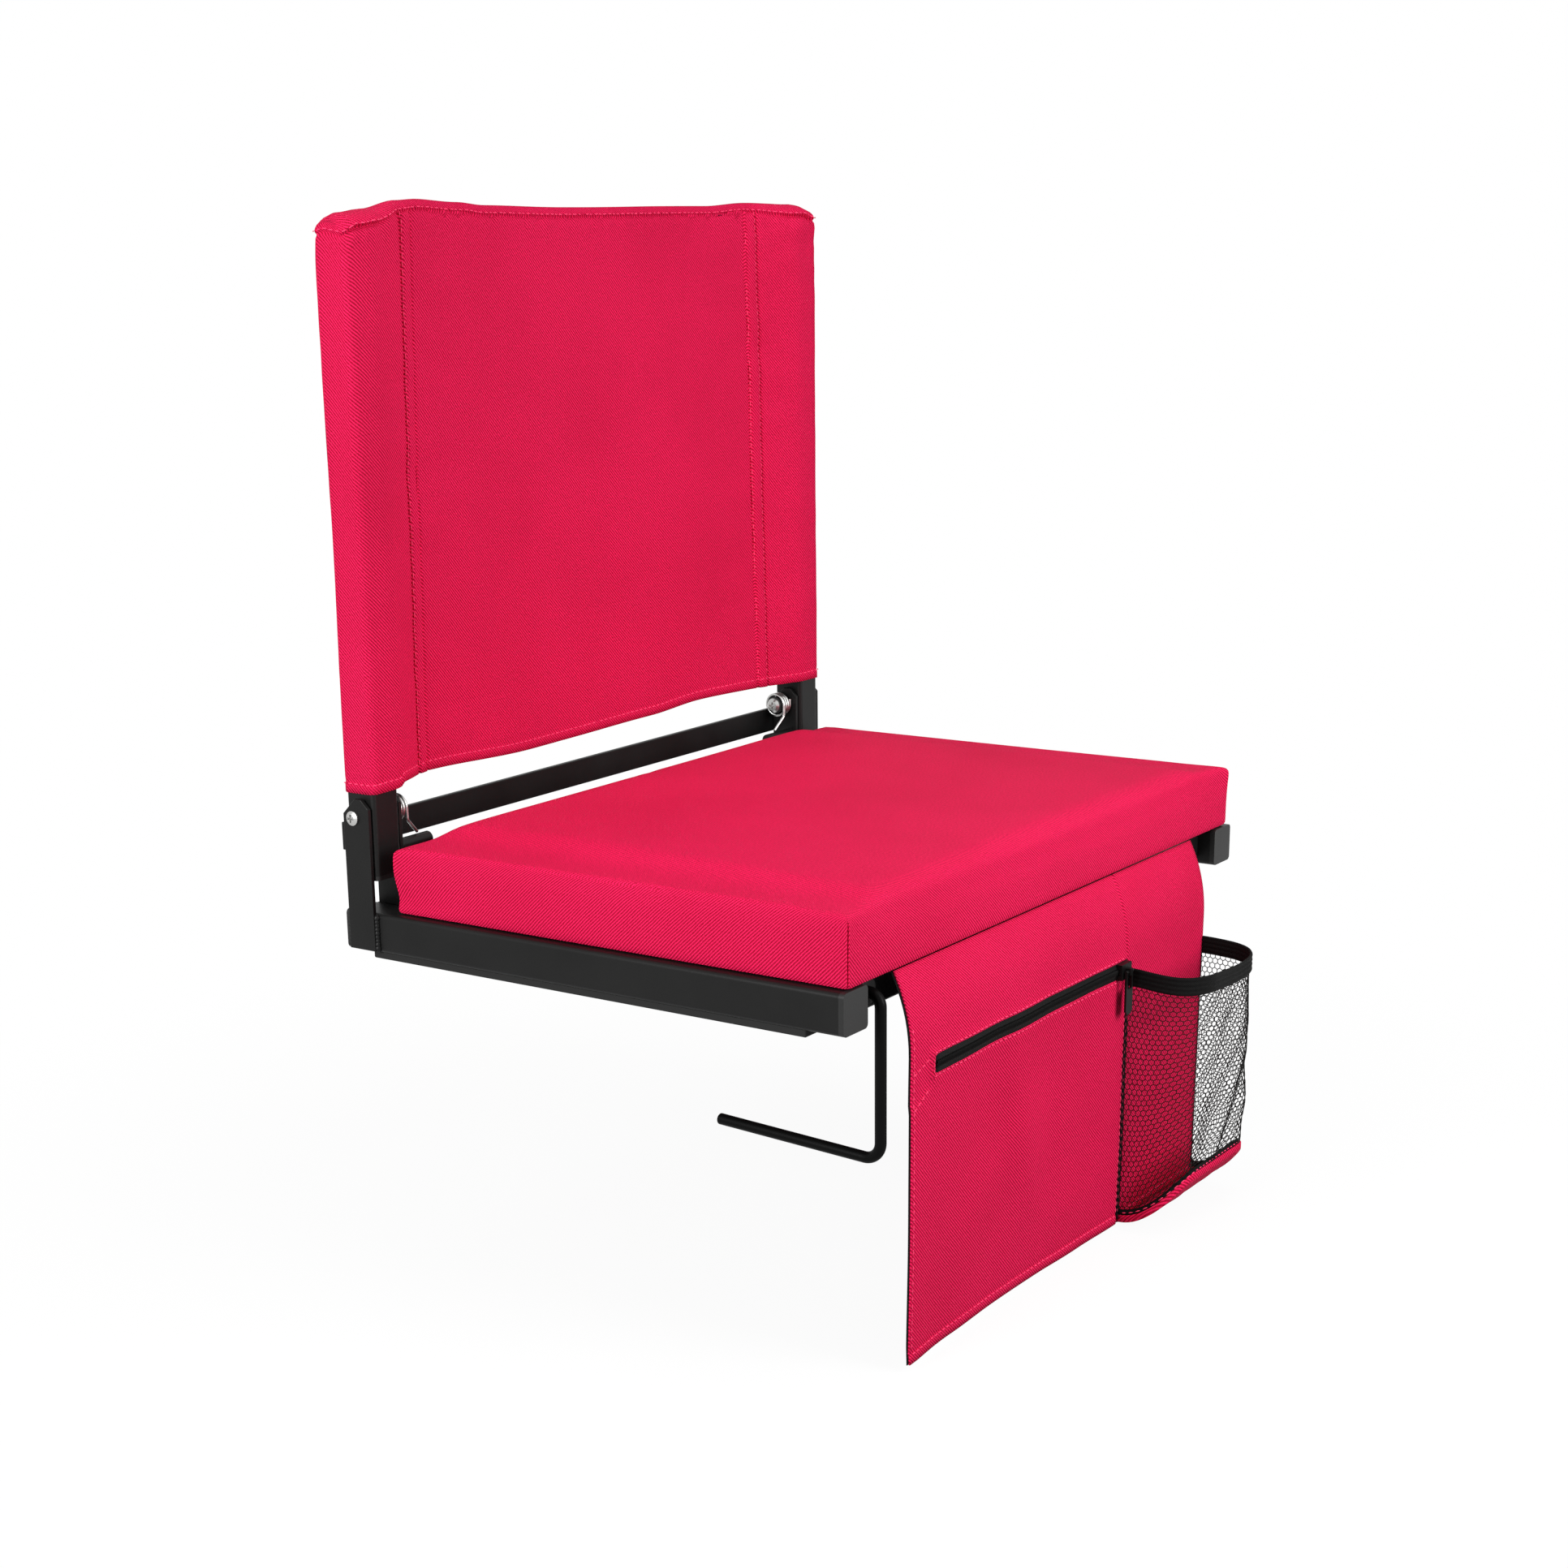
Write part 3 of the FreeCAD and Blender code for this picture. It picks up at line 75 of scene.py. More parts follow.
# %% Camera
TURN, TILT, ROLL = math.radians(-53.147), math.radians(15.724), math.radians(-1.426)


def camera_axes():
    back = Vector((math.sin(TURN) * math.cos(TILT), -math.cos(TURN) * math.cos(TILT), math.sin(TILT)))
    level = Vector((math.cos(TURN), math.sin(TURN), 0))
    above = back.cross(level)
    right = math.cos(ROLL) * level + math.sin(ROLL) * above
    up = math.cos(ROLL) * above - math.sin(ROLL) * level
    return right, up, back


camera = bpy.data.objects.new("Camera", bpy.data.cameras.new("Camera"))
scene.collection.objects.link(camera)
camera.data.sensor_fit = "HORIZONTAL"
camera.data.sensor_width = 36
camera.data.lens = 58.034
camera.data.shift_x = 0.0824
camera.data.shift_y = 0.1221
camera.data.clip_end = 60
standpoint = Matrix.Translation((-1.19894, -0.78619, 0.36342))
camera.matrix_world = standpoint @ Matrix(camera_axes()).transposed().to_4x4()
scene.camera = camera
print("Camera", round(camera.data.lens, 1), "mm")

# %% [markdown]
# Materials are built from nodes. A handful of small helpers keeps the wiring readable: `feed` links a
# socket or writes a plain number into it, `calc` is one Math node, `tint` mixes two colours and
# `speckle` is a noise texture.

# %% Helpers for node trees
def feed(tree, source, socket):
    if isinstance(source, bpy.types.NodeSocket):
        tree.links.new(source, socket)
    else:
        socket.default_value = source


def calc(tree, operation, *values):
    node = tree.nodes.new("ShaderNodeMath")
    node.operation = operation
    for value, socket in zip(values, node.inputs):
        feed(tree, value, socket)
    return node.outputs[0]


def tint(tree, share, first, second):
    node = tree.nodes.new("ShaderNodeMix")
    node.data_type = "RGBA"
    for value, socket in zip((share, first, second), (node.inputs[0], node.inputs[6], node.inputs[7])):
        feed(tree, value, socket)
    return node.outputs[2]


def speckle(tree, place, scale, detail=2.0):
    node = tree.nodes.new("ShaderNodeTexNoise")
    feed(tree, place, node.inputs["Vector"])
    feed(tree, scale, node.inputs["Scale"])
    node.inputs["Detail"].default_value = detail
    return node.outputs[0]


def spread_out(tree, value, low, high):
    node = tree.nodes.new("ShaderNodeMapRange")
    feed(tree, value, node.inputs["Value"])
    node.inputs["To Min"].default_value = low
    node.inputs["To Max"].default_value = high
    return node.outputs[0]


def relief(tree, height, depth):
    node = tree.nodes.new("ShaderNodeBump")
    node.inputs["Distance"].default_value = depth
    feed(tree, height, node.inputs["Height"])
    return node.outputs[0]


# %% [markdown]
# Two effects serve several finishes, so each is a node group that is built once. `Twill` draws the slanted
# ribs of the polyester cloth on a UV map laid out in metres, so the ribs are as fine as the real ones and
# turn with the cloth. `Mottle` is the faint unevenness of coated, moulded and plated surfaces, read from
# object coordinates.

# %% Node groups
def new_group(name, inputs, outputs):
    group = bpy.data.node_groups.new(name, "ShaderNodeTree")
    for label, kind, value in inputs:
        socket = group.interface.new_socket(name=label, in_out="INPUT", socket_type=kind)
        if value is not None:
            socket.default_value = value
    for label in outputs:
        group.interface.new_socket(name=label, in_out="OUTPUT", socket_type="NodeSocketFloat")
    return group, group.nodes.new("NodeGroupInput").outputs, group.nodes.new("NodeGroupOutput").inputs


def wave(tree, value, length):
    turns = calc(tree, "MULTIPLY", calc(tree, "DIVIDE", value, length), 2 * math.pi)
    return calc(tree, "MULTIPLY_ADD", calc(tree, "SINE", turns), 0.5, 0.5)


twill, given, made = new_group(
    "Twill",
    [("Cloth", "NodeSocketVector", None), ("Pitch", "NodeSocketFloat", 0.00145)],
    ["Rib", "Height", "Dye"],
)
split = twill.nodes.new("ShaderNodeSeparateXYZ")
twill.links.new(given["Cloth"], split.inputs[0])
along_weft, along_warp = split.outputs[0], split.outputs[1]
wander = calc(twill, "MULTIPLY", speckle(twill, given["Cloth"], 60.0, 3.0), 0.0012)
slant = calc(twill, "ADD", calc(twill, "ADD", along_weft, along_warp), wander)
rib = wave(twill, slant, calc(twill, "MULTIPLY", given["Pitch"], math.sqrt(2)))
knot_pitch = calc(twill, "MULTIPLY", given["Pitch"], 0.9)
knot = wave(twill, calc(twill, "SUBTRACT", along_weft, along_warp), knot_pitch)
yarn = speckle(twill, given["Cloth"], 900.0, 2.0)
rough_rib = calc(twill, "MULTIPLY_ADD", calc(twill, "SUBTRACT", yarn, 0.5), 0.9, rib)
feed(twill, calc(twill, "MULTIPLY_ADD", knot, 0.18, calc(twill, "MULTIPLY", rough_rib, 0.82)), made["Rib"])
feed(twill, calc(twill, "MULTIPLY_ADD", knot, 0.3, calc(twill, "MULTIPLY", rib, 0.7)), made["Height"])
feed(twill, speckle(twill, given["Cloth"], 9.0, 4.0), made["Dye"])

mottle, given, made = new_group(
    "Mottle",
    [
        ("Place", "NodeSocketVector", None),
        ("Grain", "NodeSocketFloat", 900.0),
        ("Cloud", "NodeSocketFloat", 30.0),
    ],
    ["Grain", "Cloud"],
)
feed(mottle, speckle(mottle, given["Place"], given["Grain"], 2.0), made["Grain"])
feed(mottle, speckle(mottle, given["Place"], given["Cloud"], 5.0), made["Cloud"])
print("Node groups:", [g.name for g in bpy.data.node_groups])


# %% [markdown]
# The cloth finishes. The red polyester has bright ribs over a deeper ground, a soft sheen and a little
# unevenness in its dye. The same group with black colours and other pitches gives the flap's lining, the
# zip's tape and the elastic band.

# %% Cloth materials
def new_material(name):
    material = bpy.data.materials.new(name)
    material.use_nodes = True
    return material, material.node_tree, material.node_tree.nodes["Principled BSDF"]


def use_group(tree, group, **values):
    node = tree.nodes.new("ShaderNodeGroup")
    node.node_tree = group
    for label, value in values.items():
        feed(tree, value, node.inputs[label])
    return node.outputs


def coordinates(tree, kind):
    return tree.nodes.new("ShaderNodeTexCoord").outputs[kind]


def grey(value):
    return (value, value, value * 0.98, 1)


def cloth_material(name, ground, rib, pitch, depth, roughness=0.8, gloss=0.2):
    material, tree, shader = new_material(name)
    weave = use_group(tree, twill, Cloth=coordinates(tree, "UV"), Pitch=pitch)
    dyed = tint(tree, spread_out(tree, weave["Dye"], -0.25, 0.35), rib, ground)
    feed(tree, tint(tree, weave["Rib"], ground, dyed), shader.inputs["Base Color"])
    feed(tree, spread_out(tree, weave["Rib"], roughness + 0.1, roughness - 0.1), shader.inputs["Roughness"])
    feed(tree, relief(tree, weave["Height"], depth), shader.inputs["Normal"])
    shader.inputs["Specular IOR Level"].default_value = gloss
    return material


red_cloth = cloth_material(
    "red_twill", (0.30, 0.001, 0.014, 1), (1.0, 0.017, 0.125, 1), 0.00145, 0.0003, 0.8, 0.09
)
black_cloth = cloth_material("black_lining", grey(0.004), grey(0.012), 0.0008, 0.0001, 0.8, 0.1)
zip_cloth = cloth_material("zip_tape", grey(0.003), grey(0.012), 0.0009, 0.00015, 0.7, 0.06)
elastic_cloth = cloth_material("elastic", grey(0.002), grey(0.008), 0.0008, 0.0001, 0.7, 0.06)
print("Cloths:", [m.name for m in (red_cloth, black_cloth, zip_cloth, elastic_cloth)])


# %% [markdown]
# The hard finishes: satin black powder coat on the tubes, moulded plastic plugs, rubber feet, zinc-plated
# springs and bolts, plywood and nylon. Each takes its small variations from `Mottle`. Thread and net are
# plain yarns with a little fuzz.

# %% Hard materials
def coated(name, dark, light, rough_low, rough_high, grain, depth, metal=0.0, gloss=0.5):
    material, tree, shader = new_material(name)
    spots = use_group(tree, mottle, Place=coordinates(tree, "Object"), Grain=grain)
    feed(tree, tint(tree, spots["Cloud"], dark, light), shader.inputs["Base Color"])
    feed(tree, spread_out(tree, spots["Cloud"], rough_low, rough_high), shader.inputs["Roughness"])
    feed(tree, relief(tree, spots["Grain"], depth), shader.inputs["Normal"])
    shader.inputs["Metallic"].default_value = metal
    shader.inputs["Specular IOR Level"].default_value = gloss
    return material


finish = {
    "frame_black": coated("powder_coat", grey(0.003), grey(0.007), 0.34, 0.5, 1300.0, 0.00005, gloss=0.17),
    "black_plastic": coated("moulded_plastic", grey(0.005), grey(0.01), 0.42, 0.55, 900.0, 0.00003, gloss=0.3),
    "black_rubber": coated("rubber", grey(0.006), grey(0.012), 0.6, 0.8, 500.0, 0.00006, gloss=0.25),
    "zinc_steel": coated("zinc", grey(0.3), grey(0.62), 0.25, 0.42, 600.0, 0.00003, metal=1.0),
    "nylon": coated("nylon", grey(0.008), grey(0.014), 0.4, 0.5, 400.0, 0.00002, gloss=0.3),
    "zip_metal": coated("zip_enamel", grey(0.003), grey(0.007), 0.25, 0.4, 700.0, 0.00002, gloss=0.12),
    "red_fabric": red_cloth,
    "black_fabric": black_cloth,
}
red_thread = coated(
    "red_thread", (0.85, 0.03, 0.13, 1), (1.0, 0.08, 0.2, 1), 0.6, 0.8, 2500.0, 0.0001, gloss=0.15
)
black_thread = coated("black_yarn", grey(0.003), grey(0.008), 0.5, 0.7, 2500.0, 0.0001, gloss=0.1)
# The hook gets a darker, less glossy copy of the frame's powder coat: its darker colour is painted shade, and the
# lower gloss takes away reflection.
hook_coat_painted_shade = coated("hook_coat_painted_shade", grey(0.002), grey(0.004), 0.3, 0.4, 900.0, 0.00003, gloss=0.05)

# %% [markdown]
# The plywood board is hidden between the cushion and its under cover, but a reader who takes the model
# apart will see it, so it gets a grain: a noise stretched along the board's length by a Mapping node.

# %% Plywood, and a finish for every CAD node
plywood, tree, shader = new_material("plywood")
stretch = tree.nodes.new("ShaderNodeMapping")
stretch.inputs["Scale"].default_value = (6, 90, 90)
feed(tree, coordinates(tree, "Object"), stretch.inputs["Vector"])
wood_grain = speckle(tree, stretch.outputs[0], 1.0, 8.0)
feed(tree, tint(tree, wood_grain, (0.42, 0.27, 0.14, 1), (0.68, 0.5, 0.3, 1)), shader.inputs["Base Color"])
feed(tree, spread_out(tree, wood_grain, 0.55, 0.75), shader.inputs["Roughness"])
feed(tree, relief(tree, wood_grain, 0.0002), shader.inputs["Normal"])
finish["plywood"] = plywood

for part in nodes.values():
    for place in part.material_slots:
        place.material = finish[place.material.name.split(".")[0]]
# The hook takes the darker copy of the powder coat, with painted shade in its colour.
nodes["bleacher_hook"].material_slots[0].material = hook_coat_painted_shade
print("Finished CAD nodes:", len(nodes))

# %% [markdown]
# Cloth begins flat, as it does in a workshop. `cut_cloth` is a rectangle of fine squares, `score` cuts extra
# lines into it where a crease or a stitched edge has to be crisp, and `bend` keeps the flat shape as the UV
# map before it moves every point to its place on the seat. A simulation could do the bending, but here the
# sewn shape is known, and this way the twill stays as it was woven.

# %% Cutting and bending cloth
COVER_CLOTH, LINING_CLOTH = 0.0008, 0.0005


def cut_cloth(left, right, low, high, step):
    bm = bmesh.new()
    place = Matrix.Translation(((left + right) / 2, (low + high) / 2, 0))
    size = Matrix.Diagonal((right - left, high - low, 1, 1))
    columns, rows = max(1, round((right - left) / step)), max(1, round((high - low) / step))
    bmesh.ops.create_grid(bm, x_segments=columns, y_segments=rows, size=0.5, matrix=place @ size)
    return bm


def score(bm, axis, *places):
    line = Vector((1, 0, 0)) if axis == "u" else Vector((0, 1, 0))
    for place in places:
        everything = bm.verts[:] + bm.edges[:] + bm.faces[:]
        bmesh.ops.bisect_plane(bm, geom=everything, plane_co=line * place, plane_no=line, dist=0.0001)


def bend(bm, shape):
    layout = bm.loops.layers.uv.verify()
    for face in bm.faces:
        for corner in face.loops:
            corner[layout].uv = corner.vert.co.xy
    for vert in bm.verts:
        vert.co = shape(vert.co.x, vert.co.y)


def mesh_from(name, bm):
    mesh = bpy.data.meshes.new(name)
    bm.to_mesh(mesh)
    bm.free()
    return mesh


def make_piece(name, bm, material, body, crease=50):
    mesh = mesh_from(name, bm)
    mesh.materials.append(material)
    mesh.shade_smooth()
    mesh.set_sharp_from_angle(angle=math.radians(crease))
    piece = bpy.data.objects.new(name, mesh)
    scene.collection.objects.link(piece)
    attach(piece, body)
    return piece


def thicken(piece, thickness):
    wall = piece.modifiers.new("Thickness", "SOLIDIFY")
    wall.thickness = thickness
    wall.offset = -1
    wall.use_even_offset = False


# %% [markdown]
# Most of the sewn parts follow a line made of straight runs with eased corners: the sleeve goes round the
# uprights, the flap curves over the front bar, the net pocket is a D. `eased_path` gives the place and the
# outward direction at any distance along such a line. `through` draws a soft line through a few heights.

# %% Paths and soft lines
def eased_path(corners, closed=False, steps=8):
    points = []
    for i, (x, y, ease) in enumerate(corners):
        here = Vector((x, y))
        if ease:
            before = (Vector(corners[i - 1][:2]) - here).normalized() * ease
            after = (Vector(corners[(i + 1) % len(corners)][:2]) - here).normalized() * ease
            shares = [k / steps for k in range(steps + 1)]
            points += [here + before * (1 - share) ** 2 + after * share**2 for share in shares]
        else:
            points.append(here)
    if closed:
        points.append(points[0])
    reach = [0.0]
    for a, b in zip(points, points[1:]):
        reach.append(reach[-1] + (b - a).length)

    def place(distance):
        distance = min(max(distance, 0.0), reach[-1])
        k = min(max(bisect.bisect_left(reach, distance), 1), len(reach) - 1)
        share = (distance - reach[k - 1]) / max(reach[k] - reach[k - 1], 1e-9)
        return points[k - 1].lerp(points[k], share)

    def at(distance):
        way = (place(distance + 0.0012) - place(distance - 0.0012)).normalized()
        return place(distance), Vector((way.y, -way.x))

    return at, reach[-1]


def through(x, stops):
    for (xa, a), (xb, b) in zip(stops, stops[1:]):
        if x <= xb:
            share = min(max((x - xa) / (xb - xa), 0.0), 1.0)
            return a + (b - a) * share * share * (3 - 2 * share)
    return stops[-1][1]


def bump_at(x, centre, width):
    return math.exp(-(((x - centre) / width) ** 2))


def step_at(x, edge, width=0.0003):
    return 1 / (1 + math.exp(min(max((edge - x) / width, -60), 60)))


# %% [markdown]
# Stitches are real: small beads of thread, laid end to end along a line on the flat cloth and carried to
# the seat by the same function that bends the cloth. There are hundreds, so each has only a few faces. One
# bead is made with an operator, and `stamp` adds copies of it, which is far quicker than making each anew.

# %% Sewing
def stamp(bm, pattern, place):
    copy = pattern.copy()
    copy.transform(place)
    bm.from_mesh(copy)
    bpy.data.meshes.remove(copy)


bm = bmesh.new()
bmesh.ops.create_uvsphere(bm, u_segments=6, v_segments=4, radius=1)
bead = mesh_from("bead", bm)


def sew(bm, surface, start, end, stitch=0.0030, gap=0.0013, thick=0.00038):
    start, end = Vector(start), Vector(end)
    way = (end - start).normalized()
    for i in range(int((end - start).length / (stitch + gap))):
        middle = start + way * (i + 0.5) * (stitch + gap)
        here = surface(*middle)
        out = (surface(middle.x + 0.0005, middle.y) - here).cross(surface(middle.x, middle.y + 0.0005) - here)
        along = surface(*(middle + way * stitch / 2)) - surface(*(middle - way * stitch / 2))
        out.normalize()
        length = along.length
        along.normalize()
        turn = Matrix((along.cross(out), out, along)).transposed().to_4x4()
        size = Matrix.Diagonal((thick, thick, length / 2, 1))
        place = Matrix.Translation(here + out * thick * 0.4)
        stamp(bm, bead, place @ turn @ size)


# %% [markdown]
# The back is one loop of cloth. It goes round both uprights, and two double rows of stitching join its front
# and rear layers, so the uprights sit in two channels and a thin panel is stretched between them. The panel
# bows a little to the rear, the top is sewn shut under a narrow band, and the bottom is hemmed and open. The
# heights of the top and bottom lines follow the photograph: full over the seams, slack in the middle, and
# sloping down at the outer left corner.

# %% The back sleeve's shape
SEAM, PANEL_Y = 0.163, 0.1465
WALL, CUT = 0.300, 0.3115
SLEEVE_TOP = [
    (-0.2203, 0.3885), (-0.209, 0.3925), (-0.192, 0.3942), (-0.168, 0.3985),
    (-0.15, 0.3993), (-0.115, 0.398), (-0.09, 0.3964), (-0.02, 0.3955),
    (0.12, 0.3965), (0.158, 0.3985), (0.205, 0.3978), (0.2203, 0.3948),
]
SLEEVE_BOTTOM = [
    (-0.2203, 0.0918), (-0.198, 0.0922), (-0.191, 0.0945), (-0.166, 0.0945), (-0.06, 0.0905),
    (0.05, 0.092), (0.1, 0.0945), (0.165, 0.0935), (0.2203, 0.094),
]
LEFT_LEAN = [(0, -0.0040), (0.150, -0.0010), (0.300, 0.0024)]
RIGHT_LEAN = [(0, 0.0070), (0.150, 0.0020), (0.300, -0.0013)]
INNER_X, OUTER_X, UPRIGHT_IN = 0.1987, 0.2203, 0.1985
REAR_Y, FRONT_Y, LAYER = 0.1558, 0.1332, 0.0012
rear = [(-SEAM, PANEL_Y + LAYER, 0.006), (-INNER_X, REAR_Y, 0.005), (-OUTER_X, REAR_Y, 0.004)]
front = [(-OUTER_X, FRONT_Y, 0.004), (-INNER_X, FRONT_Y, 0.005), (-SEAM, PANEL_Y - LAYER, 0.006)]
left_side = rear + front
right_side = [(-x, y, ease) for x, y, ease in reversed(left_side)]
around, girth = eased_path([(0, PANEL_Y + LAYER, 0)] + left_side + right_side, closed=True)


def sleeve_relief(x, y, v, z):
    on_seam = abs(abs(x) - SEAM)
    below_band = 1 - step_at(v, WALL - 0.001)
    raised = 0.0010 * (1 - step_at(on_seam, 0.0040, 0.0003)) * below_band
    groove = -0.0017 * bump_at(on_seam, 0.0047, 0.0008) * below_band
    hem = 0.0002 * (1 - step_at(v, 0.0055)) - 0.0003 * bump_at(v, 0.0058, 0.0009)
    crease = 0.0010 + 0.0016 * step_at(abs(x), 0.19, 0.004) * (1 - step_at(abs(x), 0.2155, 0.0008))
    proud = 0.0006 - 0.0005 * step_at(abs(x), 0.2165, 0.001)
    band = proud * step_at(v, WALL) - crease * bump_at(v, WALL - 0.0008, 0.0012)
    pucker = 0.0006 * math.sin(x * 520 + 2 * math.sin(x * 90)) * bump_at(v, WALL - 0.002, 0.007)
    crumple = 0.0011 * noise.noise(Vector((x * 16, y * 16, z * 11)))
    pull = 0.0008 * noise.noise(Vector((x * 34 + z * 20, 3, z * 60))) * bump_at(abs(x), SEAM, 0.045)
    at_corner = bump_at(v, WALL, 0.03) * bump_at(x, 0.205, 0.03)
    rumple = 0.0022 * noise.noise(Vector((x * 60, 7, z * 90))) * at_corner
    return raised + groove + hem + band + pucker + crumple + pull + rumple


def leaned(x, v):
    lean = through(v, LEFT_LEAN) if x < 0 else through(v, RIGHT_LEAN)
    if abs(x) <= SEAM:
        return x + lean * abs(x) / SEAM
    return x + lean * max(0.0, (UPRIGHT_IN - abs(x)) / (UPRIGHT_IN - SEAM))


def sleeve_point(u, v):
    (x, y), (nx, ny) = around(u)
    depth = min(abs(y - PANEL_Y) / 0.011, 1.0)
    rise = 0.0045 + 0.0025 * depth
    bottom, top = through(x, SLEEVE_BOTTOM), through(x, SLEEVE_TOP)
    z = bottom + (top - rise - bottom) * min(v / WALL, 1.0)
    over = max(0.0, (v - WALL) / (CUT - WALL)) * math.pi / 2
    out = sleeve_relief(x, y, v, z)
    inward = 1 - math.cos(over)
    x_end = min(max(x, -0.2170), 0.2180)
    x += (x_end - x) * inward + nx * out * math.cos(over)
    y += (PANEL_Y - y) * inward + ny * out * math.cos(over)
    z += rise * math.sin(over) + 0.2 * out * math.sin(over)
    y += 0.005 * max(0.0, 1 - (x / SEAM) ** 2)
    return Vector((leaned(x, v), y, z))


print("Cloth round the back:", round(girth, 3), "m")

# %% [markdown]
# The flat cloth is scored beside each seam, at the hem and along the top band, bent into the loop, and its two
# ends are joined at the middle of the rear. The top rows of the front and rear layers are joined as well.

# %% Make the back sleeve
def loop_places(x_wanted, y_side):
    found, steps = [], 4000
    spots = [around(girth * k / steps)[0] for k in range(steps + 1)]
    for k in range(steps):
        crosses = (spots[k].x - x_wanted) * (spots[k + 1].x - x_wanted) <= 0
        if crosses and (spots[k].y - PANEL_Y) * y_side > 0:
            found.append(girth * (k + 0.5) / steps)
    return found[0]


seam_places = {(side, layer): loop_places(side * SEAM, layer) for side in (-1, 1) for layer in (-1, 1)}
bm = cut_cloth(0, girth, 0, CUT, 0.0042)
BESIDE_SEAM = (0.0030, 0.0038, 0.0046, 0.0054, 0.0066)
HEM_LINES = (0.0048, 0.0055, 0.0062)
BAND_LINES = (-0.0024, -0.0014, -0.0006, 0.0003, 0.001, 0.003, 0.005, 0.007, 0.009, 0.0103)
for place in seam_places.values():
    score(bm, "u", *[place + s * off for s in (-1, 1) for off in BESIDE_SEAM])
score(bm, "v", *HEM_LINES, *[WALL + off for off in BAND_LINES])
bend(bm, sleeve_point)
bmesh.ops.remove_doubles(bm, verts=bm.verts, dist=0.00001)
ridge = [v for v in bm.verts if v.is_boundary and v.co.z > 0.37]
bmesh.ops.remove_doubles(bm, verts=ridge, dist=0.0016)
back_cloth = make_piece("back_sleeve_cloth", bm, red_cloth, "back")
thicken(back_cloth, COVER_CLOTH)
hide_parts("back_sleeve")
print("Back sleeve faces:", len(back_cloth.data.polygons))

# %% [markdown]
# Its stitching: two rows down each seam, front and rear, a row along the hem and a row under the top band.

# %% Sew the back sleeve
bm = bmesh.new()
for place in seam_places.values():
    for row in (-0.0040, 0.0040):
        sew(bm, sleeve_point, (place + row, 0.004), (place + row, WALL + 0.004))
for begin, end in ((0.004, girth / 2 - 0.002), (girth / 2, girth - 0.004)):
    sew(bm, sleeve_point, (begin, 0.0052), (end, 0.0052))
    sew(bm, sleeve_point, (begin, WALL + 0.0014), (end, WALL + 0.0014))
back_stitches = make_piece("back_sleeve_stitching", bm, red_thread, "back")
print("Back stitches:", len(back_stitches.data.polygons) // 24)

# %% [markdown]
# Each hinge strap is welded to its rail along both upright edges. A weld is not a smooth rod: it is a row of
# overlapping drops, which the welder lays one after another. The same bead pattern, stamped larger and a little
# unevenly, gives the row. The CAD model says how tall the row is, and the strap and the rail say where it stands.

# %% Weld beads
low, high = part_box("hinge_weld_beads")
strap_low, strap_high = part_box("left_outer_hinge_strap")
rail_low, rail_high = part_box("left_rail")
DROPS, DROP_TALL = 9, 0.0024
bm = bmesh.new()
for side in (-1, 1):
    for x in (-rail_low[0], -rail_high[0]):
        for y in (strap_low[1], strap_high[1]):
            for k in range(DROPS):
                z = low[2] + (high[2] - low[2]) * (k + 0.5) / DROPS
                size = 0.0023 + 0.0005 * noise.noise(Vector((side * x * 90, y * 70, k * 1.7)))
                shape = Matrix.Diagonal((size, size, DROP_TALL, 1))
                stamp(bm, bead, Matrix.Translation((side * x, y, z)) @ shape)
welds = make_piece("weld_drops", bm, finish["frame_black"], "seat_frame", 80)
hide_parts("hinge_weld_beads")
print("Weld drops:", DROPS * 8)

# %% [markdown]
# The cushion is a foam slab in a cloth cover. The cover is one cloth folded down over all four sides, with an
# upright seam at each corner, so the twill runs from the top over the edges. It starts as a cube that is cut
# into small squares, whose top edges are then rounded. Cloth simulation with air pressure inside fills it out:
# the underside and the corner seams are held, and a soft limit keeps the foam's flat shape. The rim is
# lowest and sharpest at the corners.

# %% Cushion blank
low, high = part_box("seat_cushion")
CUSHION_MID = Vector(((low[0] + high[0]) / 2, (low[1] + high[1]) / 2, 0))
HALF_X, HALF_Y = (high[0] - low[0]) / 2, (high[1] - low[1]) / 2
SEAT_LOW, SEAT_EDGE = low[2] + 0.0001, low[2] + 0.0360


def edge_arc(share, radius):
    angle = share * math.pi / 2
    return radius * (1 - math.cos(angle)), radius * (math.sin(angle) - 1)


def cushion_point(place):
    x, y = place.x * 2 * HALF_X, place.y * 2 * HALF_Y
    gaps = [HALF_X - abs(x), HALF_Y - abs(y)]
    from_corner = 1 - math.exp(-max(gaps) / 0.022)
    radius = 0.0012 + 0.0040 * from_corner
    edge = SEAT_EDGE + (0.0042 + 0.0014 * y / HALF_Y) * from_corner
    z = SEAT_LOW + (place.z + 0.5) * (edge - SEAT_LOW)
    if place.z > 0.499:
        arcs = [edge_arc(0.5 + 0.5 * min(gap / radius, 1), radius) for gap in gaps]
        z += min(arc[1] for arc in arcs)
        inset = [arc[0] if gap < radius else gap for arc, gap in zip(arcs, gaps)]
    else:
        share = max(0.0, (z - edge + radius) / radius)
        inset = [edge_arc(0.5 * share, radius)[0] if gap < 1e-6 else gap for gap in gaps]
        if share:
            z = edge + edge_arc(0.5 * share, radius)[1]
    x = math.copysign(HALF_X - inset[0], x)
    y = math.copysign(HALF_Y - inset[1], y)
    return CUSHION_MID + Vector((x, y, z))


